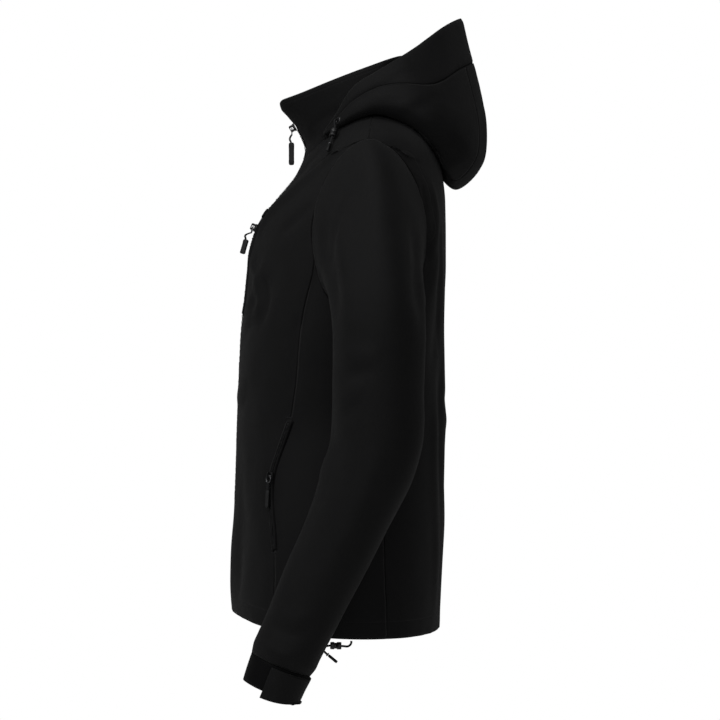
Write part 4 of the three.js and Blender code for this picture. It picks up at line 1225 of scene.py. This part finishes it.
HOOD_CREASES = (
    *creases(Seen.LEFT,
        (-1.6, 9, (-26, -2), (6, 16), (40, 34)),
        (1.6, 10, (-20, 14), (14, 32), (52, 50)),
        (-1.2, 10, (22, -30), (56, -6), (82, 10)),
        (1.2, 11, (30, -12), (60, 8), (92, 22)),
    ),
    *creases(Seen.RIGHT,
        (-1.5, 9, (-22, -6), (8, 14), (44, 30)),
        (1.6, 10, (-18, 10), (18, 30), (56, 46)),
        (-1.2, 10, (26, -26), (58, -4), (86, 12)),
        (1.3, 11, (34, -8), (62, 12), (90, 30)),
    ),
    *creases(Seen.BACK,
        (1.8, 12, (18, 10), (24, -30), (14, -70)),
        (-1.8, 10, (-12, 14), (-20, -24), (-10, -66)),
    ),
)


# ---------------------------------------------------------------- trims


def softened(node: str, name: str, width: float, finish: Finish, slot: str) -> bpy.types.Object:
    """Replaces a hard node with a copy whose edges are rounded.

    Args:
        node: the node.
        name: the new piece's name.
        width: the width of the rounding, in mm.
        finish: its finish.
        slot: not used; only handed on to placed.

    Returns:
        The piece, on the jacket's body.
    """
    mesh = merged_copy(node)
    bmesh.ops.dissolve_limit(mesh, angle_limit=math.radians(1), verts=mesh.verts, edges=mesh.edges)
    piece = as_object(mesh, name)
    bevel = piece.modifiers.new("rounding", "BEVEL")
    bevel.width = width * MM
    bevel.segments = 3
    bevel.limit_method = "ANGLE"
    bevel.angle_limit = math.radians(40)
    settled(piece)
    placed(piece, finish, slot, node)
    return piece


def placed(piece: bpy.types.Object, finish: Finish, slot: str, *nodes: str, body: str = JACKET) -> None:
    """Dresses a finished piece and puts it in place of its nodes.

    Args:
        piece: the object.
        finish: its finish.
        slot: not used.
        nodes: the nodes that it stands for.
        body: the body that it rides on.
    """
    dress(piece, finish)
    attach(piece, body)
    if nodes:
        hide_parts(*nodes)
    LOG.info("%s is on %s", piece.name, body)


@dataclass
class DrawCord:
    """A short draw cord with its barrel lock and its moulded end. Sizes in mm."""

    name: str
    points: tuple[Triple, ...]
    length: float
    lock_at: float
    radius: float = 1.25
    lock_length: float = 13.0
    lock_radius: float = 4.3
    waist_radius: float = 3.4
    bore: float = 1.3
    ring_radius: float = 1.75
    ring_wire: float = 0.65
    ring_back: float = 1.2

    def route(self, side: Side) -> list[Vector]:
        """The cord's points on one side, in metres."""
        return [Vector((x * side.value, y, z)) * MM for x, y, z in self.points]

    def build(self, side: Side) -> None:
        """Makes the cord, its lock and its end, on one side."""
        word = side.word
        points = self.route(side)
        data = round_curve(f"{self.name}_cord_{word}", points, self.radius * MM, fineness=4, steps=8)
        cord = bpy.data.objects.new(f"braid_{self.name}_{word}", data)
        bpy.context.scene.collection.objects.link(cord)
        placed(cord, BRAID, "cord", f"{self.name}_cord_{word}")
        lock = self.lock(side)
        end = softened(f"{self.name}_toggle_{word}", f"end_{self.name}_{word}", 0.5, GREY_GRIP, "moulded")
        ring = self.ring(side)

    def frame(self, side: Side, share: float) -> Matrix:
        """The place on the route at a share of its points, with Z along it."""
        points = self.route(side)
        at = share * (len(points) - 1)
        i = min(int(at), len(points) - 2)
        way = (points[i + 1] - points[i]).normalized()
        return aimed(points[i].lerp(points[i + 1], at - i), way)

    def lock(self, side: Side) -> bpy.types.Object:
        """Turns the waisted barrel round the cord."""
        low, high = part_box(f"{self.name}_lock_{side.word}")
        frame = self.frame(side, self.lock_at)
        frame.translation = (low + high) / 2
        end, full, waist = self.lock_length / 2, self.lock_radius, self.waist_radius
        rim = ((full, end - 1.0), (full - 0.25, end - 0.3), (full - 0.9, end), (self.bore, end))
        foot = tuple((radius, -height) for radius, height in reversed(rim))
        groove = (
            (full, -1.8), (full - 0.4, -1.2), (waist, -0.8), (waist, 1.4), (full - 0.4, 1.8), (full, 2.4),
        )
        profile = (*foot, *groove, *rim)
        piece = turned(f"lock_{self.name}_{side.word}", profile, frame)
        placed(piece, MOULDED, "moulded", f"{self.name}_lock_{side.word}")
        return piece

    def ring(self, side: Side) -> bpy.types.Object:
        """The metal ring between the lock and the end."""
        frame = self.frame(side, 1) @ Matrix.Translation((0, 0, -self.ring_back * MM))
        turns = (k * math.tau / 10 for k in range(11))
        circle = (Vector((math.cos(a), math.sin(a))) * self.ring_wire for a in turns)
        profile = tuple((self.ring_radius + point.x, point.y) for point in circle)
        piece = turned(f"ring_{self.name}_{side.word}", profile, frame, rounds=24)
        placed(piece, BRIGHT_RING, "painted_metal")
        return piece


def turned(name: str, profile: tuple[Pair, ...], frame: Matrix, rounds: int = 32) -> bpy.types.Object:
    """Spins a profile of (radius, height) in mm round Z and puts it in a frame.

    Args:
        name: the object's name.
        profile: its points, which close on themselves or are joined across the bore.
        frame: where it goes.
        rounds: the number of steps round.

    Returns:
        The object.
    """
    mesh = bmesh.new()
    ring = [mesh.verts.new((radius * MM, 0, height * MM)) for radius, height in profile]
    edges = [mesh.edges.new(pair) for pair in zip(ring, ring[1:])]
    if profile[0] != profile[-1]:
        edges.append(mesh.edges.new((ring[-1], ring[0])))
    bmesh.ops.spin(
        mesh, geom=[*ring, *edges], axis=(0, 0, 1), cent=(0, 0, 0), angle=math.tau, steps=rounds,
        use_merge=True,
    )
    bmesh.ops.remove_doubles(mesh, verts=mesh.verts, dist=0.001 * MM)
    bmesh.ops.recalc_face_normals(mesh, faces=mesh.faces)
    bmesh.ops.transform(mesh, matrix=frame, verts=mesh.verts)
    return as_object(mesh, name)


HOOD_DRAW = DrawCord("hood", (
    (88.61, -38.52, -17.61), (91.14, -41.68, -16.99), (96, -42, -27.13), (101, -43.5, -33.38),
    (106, -45, -38.52), (111, -46, -42.32), (116, -47, -46.13), (120, -48, -49.64),
), 49.23, 0.52)
HEM_DRAW = DrawCord("hem", (
    (200, -22, -631.1), (200, -22.4, -634.2), (200, -25.5, -637.2), (200, -31, -637.2), (200, -37, -636.7),
    (200, -43, -636.6), (200, -49, -636.8), (200, -53.2, -638.4), (200, -54.4, -641.4), (200, -52.2, -644.6),
    (200, -48.6, -647.6),
), 47.64, 0.45)


def wire(mesh: bmesh.types.BMesh, points: list[Vector], radius: float, closed: bool = False) -> None:
    """Adds a round wire along points to a bmesh.

    Args:
        mesh: the bmesh.
        points: the wire's middle line, in mm.
        radius: its radius, in mm.
        closed: whether it goes back to its start.
    """
    data = round_curve("wire", points, radius, fineness=3, steps=5)
    data.splines[0].use_cyclic_u = closed
    holder = bpy.data.objects.new("wire", data)
    bpy.context.scene.collection.objects.link(holder)
    made = bpy.data.meshes.new_from_object(holder.evaluated_get(bpy.context.evaluated_depsgraph_get()))
    mesh.from_mesh(made)
    bpy.data.objects.remove(holder)
    bpy.data.curves.remove(data)
    bpy.data.meshes.remove(made)


@dataclass
class ZipPull:
    """What hangs from a slider: a wire ring, a doubled cord and a ribbed grip. Sizes in mm."""

    name: str
    length: float
    tilt: float
    twist: float
    sway: float
    reach: float = 0.0
    ring: Pair = (7.0, 8.6)
    bar: float = 0.62
    cord: float = 11.0
    strand: float = 0.62
    strands_apart: float = 1.5
    grip: Pair = (6.8, 4.0)
    ribs: int = 5
    rib_depth: float = 0.07
    rib_span: Pair = (0.2, 0.75)
    end_taper: float = 0.3

    def frame(self, joints: list[dict]) -> Matrix:
        """Where the pull hangs: X across, Y inwards and Z up, at its hinge."""
        joint = next(j for j in joints if j["child"] == f"pull_{self.name}")
        across = -Vector(joint["axis"])
        up = Vector((0, 0, 1))
        turn = axes(across, up.cross(across), up)
        return Matrix.Translation(joint["pos_m"]) @ turn @ Matrix.Rotation(math.radians(-self.tilt), 4, "X")

    def build(self, joints: list[dict]) -> None:
        """Makes the ring, the cord and the grip, and hangs them."""
        frame = self.frame(joints) @ Matrix.Scale(MM, 4)
        turn = Matrix.Rotation(math.radians(self.twist), 4, "Z")
        low = self.bar - self.ring[1]
        top = low - self.cord + 2
        self.hang_ring(frame, low)
        self.hang_cord(frame, turn, low, top)
        self.hang_grip(frame, turn, top)

    def hang_ring(self, frame: Matrix, low: float) -> None:
        """Bends the ring, whose foot is at a height."""
        half = self.ring[0] / 2 - self.bar
        outline = ((half - 1, 0), (half, -1), (half, low + 2), (half - 1.3, low + self.bar))
        mirrored = ((-x, z) for x, z in reversed(outline))
        mesh = bmesh.new()
        wire(mesh, [Vector((x, 0, z)) for x, z in (*outline, *mirrored)], self.bar, closed=True)
        self.finished(mesh, "ring", frame, BRIGHT_RING, "painted_metal")

    def hang_cord(self, frame: Matrix, turn: Matrix, low: float, top: float) -> None:
        """Lays both strands from the ring's foot to the grip's top, a little bowed."""
        line = (
            (0, low + self.bar), (0.55, low - 1.5), (1.0, low - 0.45 * self.cord), (0.6, top + 1),
            (0.2, top - 2),
        )
        bent = [
            Vector((0, -self.sway * bow - self.reach * min(1.0, i / 2), z)) for i, (bow, z) in enumerate(line)
        ]
        mesh = bmesh.new()
        for side in (-0.5, 0.5):
            aside = turn @ Vector((side * self.strands_apart, 0, 0))
            wire(mesh, [aside + point for point in bent], self.strand)
        self.finished(mesh, "cord", frame, BRAID, "cord")

    def hang_grip(self, frame: Matrix, turn: Matrix, top: float) -> None:
        """Moulds the ribbed grip below a height."""
        mesh = bmesh.new()
        foot = self.bar - self.length
        bmesh.ops.create_cube(mesh, size=1)
        bmesh.ops.bevel(
            mesh, geom=self.upright(mesh), offset=0.28, segments=4, profile=0.5, affect="EDGES", material=-1,
        )
        cuts = 2 * self.ribs + 8
        bmesh.ops.subdivide_edges(mesh, edges=self.upright(mesh), cuts=cuts)
        for vertex in mesh.verts:
            z = vertex.co.z + 0.5
            end = max(0.0, abs(z - 0.5) - 0.4) / 0.1
            ribbed = self.rib_span[0] < z < self.rib_span[1] and round(z * (cuts + 1)) % 2
            size = 1 - self.end_taper * end**2 - (self.rib_depth if ribbed else 0)
            vertex.co.x *= self.grip[0] * size
            vertex.co.y *= self.grip[1] * size
            vertex.co.z = foot + z * (top - foot)
        place = Matrix.Translation((0, -0.2 * self.sway - self.reach, 0)) @ turn
        bmesh.ops.transform(mesh, matrix=place, verts=mesh.verts)
        piece = self.finished(mesh, "grip", frame, GREY_GRIP, "moulded", f"pull_{self.name}")
        smooth = piece.modifiers.new("soft", "SUBSURF")
        smooth.levels = smooth.render_levels = 1

    @staticmethod
    def upright(mesh: bmesh.types.BMesh) -> list[bmesh.types.BMEdge]:
        """The edges of a block of size 1 that go from its foot to its top."""
        return [e for e in mesh.edges if abs(e.verts[0].co.z - e.verts[1].co.z) > 0.5]

    def finished(
        self, mesh: bmesh.types.BMesh, part: str, frame: Matrix, finish: Finish, slot: str, *nodes: str,
    ) -> bpy.types.Object:
        """Puts a part of the pull in its place and dresses it."""
        bmesh.ops.transform(mesh, matrix=frame, verts=mesh.verts)
        bmesh.ops.recalc_face_normals(mesh, faces=mesh.faces)
        piece = as_object(mesh, f"{part}_pull_{self.name}")
        placed(piece, finish, slot, *nodes, body=f"pull_{self.name}")
        return piece


@dataclass
class ZipChain:
    """The interlocked loops down the middle of a tape. Sizes in mm."""

    node: str
    pitch: float = 1.5
    width: float = 3.4
    height: float = 0.9
    seat: float = 0.1
    margin: float = 4.0
    lean: float = 14.0
    stagger: float = 0.25
    loop_share: float = 0.62

    def middle(self, tape: bpy.types.Object, step: float) -> list[tuple[Vector, Vector]]:
        """Points down the middle of the tape, each with the way out from it."""
        points = coordinates(tape.data)
        normals = coordinates(tape.data, "normal")
        low, high = points[:, 2].min(), points[:, 2].max()
        found = []
        margin = self.margin * MM
        for z in np.arange(high - margin, low + margin, -step * MM):
            near = np.abs(points[:, 2] - z) < margin
            centre = Vector(points[near].mean(0))
            centre.z = float(z)
            found.append((centre, Vector(normals[near].mean(0)).normalized()))
        return found

    def build(self, tape: bpy.types.Object) -> None:
        """Sets a loop at each step down the tape."""
        line = self.middle(tape, self.pitch)
        mesh = bmesh.new()
        for i in range(1, len(line) - 1):
            place, out = line[i]
            along = (line[i - 1][0] - line[i + 1][0]).normalized()
            across = out.cross(along).normalized()
            turn = axes(across, along.cross(across), along)
            odd = i % 2
            lean = Matrix.Rotation(math.radians(self.lean if odd else -self.lean), 4, "Y")
            size = Matrix.Diagonal((self.width, self.height, self.loop_share * self.pitch, 1 / MM)) * MM
            shift = Matrix.Translation((0 if odd else self.stagger * MM, 0, 0))
            lift = Matrix.Translation(place + out * (self.seat + self.height / 2) * MM)
            bmesh.ops.create_cube(mesh, size=1, matrix=lift @ turn @ shift @ lean @ size)
        piece = as_object(mesh, f"chain_{self.node}", smooth=False)
        placed(piece, COIL, "tape")


@dataclass
class BarTack:
    """The dense short row of stitches that closes each end of a pocket. Sizes in mm."""

    node: str
    panels: tuple[str, ...]
    length: float = 10.0
    height: float = 1.5
    stitches: int = 14
    thread: float = 0.28
    sampled: float = 3.0
    beyond: float = 5.5

    def build(self, body: Body) -> None:
        """Sews a tack over the cloth at the foot and the top of the pocket."""
        tape = body.piece(self.node)
        line = ZipChain(self.node).middle(tape, self.sampled)
        cloth = joined_surface([body.piece(panel) for panel in self.panels])
        mesh = bmesh.new()
        for (place, out), rise in ((line[0], self.beyond), (line[-1], -self.beyond)):
            across = Vector((0, 0, 1)).cross(out).normalized()
            knots = []
            for i in range(self.stitches + 1):
                lift = self.height / 2 * (1 if i % 2 else -1) + rise
                aim = place + (across * (i / self.stitches - 0.5) * self.length + Vector((0, 0, lift))) * MM
                spot, normal, _, _ = cloth.find_nearest(aim)
                knots.append((spot + normal * self.thread * MM) / MM)
            wire(mesh, knots, self.thread)
        bmesh.ops.scale(mesh, vec=(MM, MM, MM), verts=mesh.verts)
        placed(as_object(mesh, f"tacks_{self.node}"), BRAID, "softshell")


@dataclass
class Hardware:
    """Sliders, pulls, the pocket's garage and the eyelets."""

    pulls: tuple[ZipPull, ...] = (
        ZipPull("main", 46, 0, 62, 2.6), ZipPull("chest", 36, 16, 50, 3.2, reach=3.0),
        *(ZipPull(f"hand_{side.word}", 38, 4, 12 * side.value, 0.6, grip=(4.8, 3.2)) for side in Side),
    )

    def build(self, joints: list[dict]) -> None:
        """Makes every hard trim."""
        for pull in self.pulls:
            softened(f"slider_{pull.name}", f"slider_body_{pull.name}", 0.35, PAINTED, "painted_metal")
            pull.build(joints)
        softened("garage_chest", "garage", 0.8, DARK_PATCH, "softshell")
        for side in Side:
            word = side.word
            softened(f"zip_main_end_{word}", f"open_tape_{word}", 0.3, ZIP_TAPE, "tape")
            self.eyelet(side)

    def eyelet(self, side: Side) -> None:
        """Turns the flanged ring that the hood's cord leaves by."""
        route = HOOD_DRAW.route(side)
        way = (route[1] - route[0]).normalized()
        low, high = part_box(f"hood_eyelet_{side.word}")
        frame = aimed((low + high) / 2, way)
        profile = ((1.9, -0.6), (4.0, -0.6), (4.4, -0.3), (4.3, 0.1), (3.4, 0.6), (2.5, 0.6), (1.9, 0.2))
        piece = turned(f"eyelet_{side.word}", profile, frame)
        placed(piece, PAINTED, "painted_metal", f"hood_eyelet_{side.word}")


# ---------------------------------------------------------------- studio


@dataclass(frozen=True)
class Lamp:
    """A square soft light that points at the chest."""

    name: str
    place: Triple
    power: float
    size: float
    target: Triple = (0.0, -0.03, -0.28)

    def build(self) -> None:
        """Adds the light."""
        data = bpy.data.lights.new(self.name, "AREA")
        data.energy = self.power
        data.size = self.size
        lamp = bpy.data.objects.new(self.name, data)
        lamp.location = self.place
        lamp.rotation_mode = "QUATERNION"
        lamp.rotation_quaternion = (Vector(self.target) - Vector(self.place)).to_track_quat("-Z", "Y")
        bpy.context.scene.collection.objects.link(lamp)


@dataclass
class Studio:
    """The camera at the photograph's angle, soft light and a pale floor."""

    distance: float = 3.0
    aim: Pair = (-0.012, -0.306)
    width_shown: float = 0.8928
    floor_drop: float = 0.32
    floor_half: float = 1.45
    surround: float = 0.11
    sensor: float = 36.0
    paper: Backdrop = Backdrop("floor", (0.86, 0.86, 0.855), 0.7, specular=0.2)
    lamps: tuple[Lamp, ...] = (
        Lamp("front", (2.2, -1.6, 0.9), 22, 1.1), Lamp("top", (1.1, -0.9, 2.0), 30, 1.0),
        Lamp("side", (2.7, 0.6, 0.3), 9, 1.0), Lamp("rear", (-0.6, 2.4, 0.6), 3.0, 1.2),
    )

    def camera(self) -> None:
        """Looks from the wearer's left at the height of the middle."""
        data = bpy.data.cameras.new("camera")
        data.sensor_width = self.sensor
        data.lens = self.sensor * self.distance / self.width_shown
        data.clip_end = 50
        camera = bpy.data.objects.new("camera", data)
        camera.location = (self.distance, *self.aim)
        camera.rotation_mode = "QUATERNION"
        camera.rotation_quaternion = Vector((-1, 0, 0)).to_track_quat("-Z", "Y")
        bpy.context.scene.collection.objects.link(camera)
        bpy.context.scene.camera = camera

    def sky(self) -> None:
        """A white surround, dimmer on the cloth than in the picture."""
        world = bpy.data.worlds.new("surround")
        bpy.context.scene.world = world
        world.use_nodes = True
        tree = world.node_tree
        path = tree.nodes.new("ShaderNodeLightPath")
        mix = tree.nodes.new("ShaderNodeMix")
        tree.links.new(path.outputs["Is Camera Ray"], mix.inputs[0])
        mix.inputs[2].default_value = self.surround
        mix.inputs[3].default_value = 1.0
        background = tree.nodes["Background"]
        background.inputs["Color"].default_value = (1, 1, 1, 1)
        tree.links.new(mix.outputs[0], background.inputs["Strength"])

    def floor(self, low: float) -> None:
        """Lays a pale floor under the jacket."""
        mesh = bmesh.new()
        bmesh.ops.create_grid(mesh, x_segments=4, y_segments=4, size=self.floor_half)
        bmesh.ops.translate(mesh, vec=(0, 0, low - self.floor_drop), verts=mesh.verts)
        floor = as_object(mesh, "floor")
        dress(floor, self.paper)
        floor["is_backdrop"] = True

    def build(self, low: float) -> None:
        """Sets the light and the floor."""
        scene = bpy.context.scene
        scene.view_settings.view_transform = "Standard"
        self.sky()
        for lamp in self.lamps:
            lamp.build()
        self.floor(low)


def corners() -> list[list[float]]:
    """The shown object's lowest and highest corners, as plain lists."""
    return [list(corner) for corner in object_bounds()]


def main() -> None:
    """Builds the jacket's pieces in order."""
    logging.basicConfig(level=logging.INFO, format="%(message)s")
    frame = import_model()
    cad = corners()
    studio = Studio()
    studio.camera()
    for draw in (HOOD_DRAW, HEM_DRAW):
        for side in Side:
            draw.build(side)
    body = Body()
    body.build()
    ZipChain("zip_main").build(body.piece("zip_main"))
    for node in ("zip_chest", "zip_hand_left", "zip_hand_right"):
        ZipChain(node, width=2.2, height=0.7, seat=0.1).build(body.piece(node))
    for side in Side:
        BarTack(f"zip_hand_{side.word}", (f"front_{side.word}", f"side_{side.word}")).build(body)
    Hardware().build(frame["joints"])
    for side in Side:
        Sleeve.cut(side).build()
    Collar().build()
    Hood().build()
    studio.build(cad[0][2])


if __name__ == "__main__":
    main()
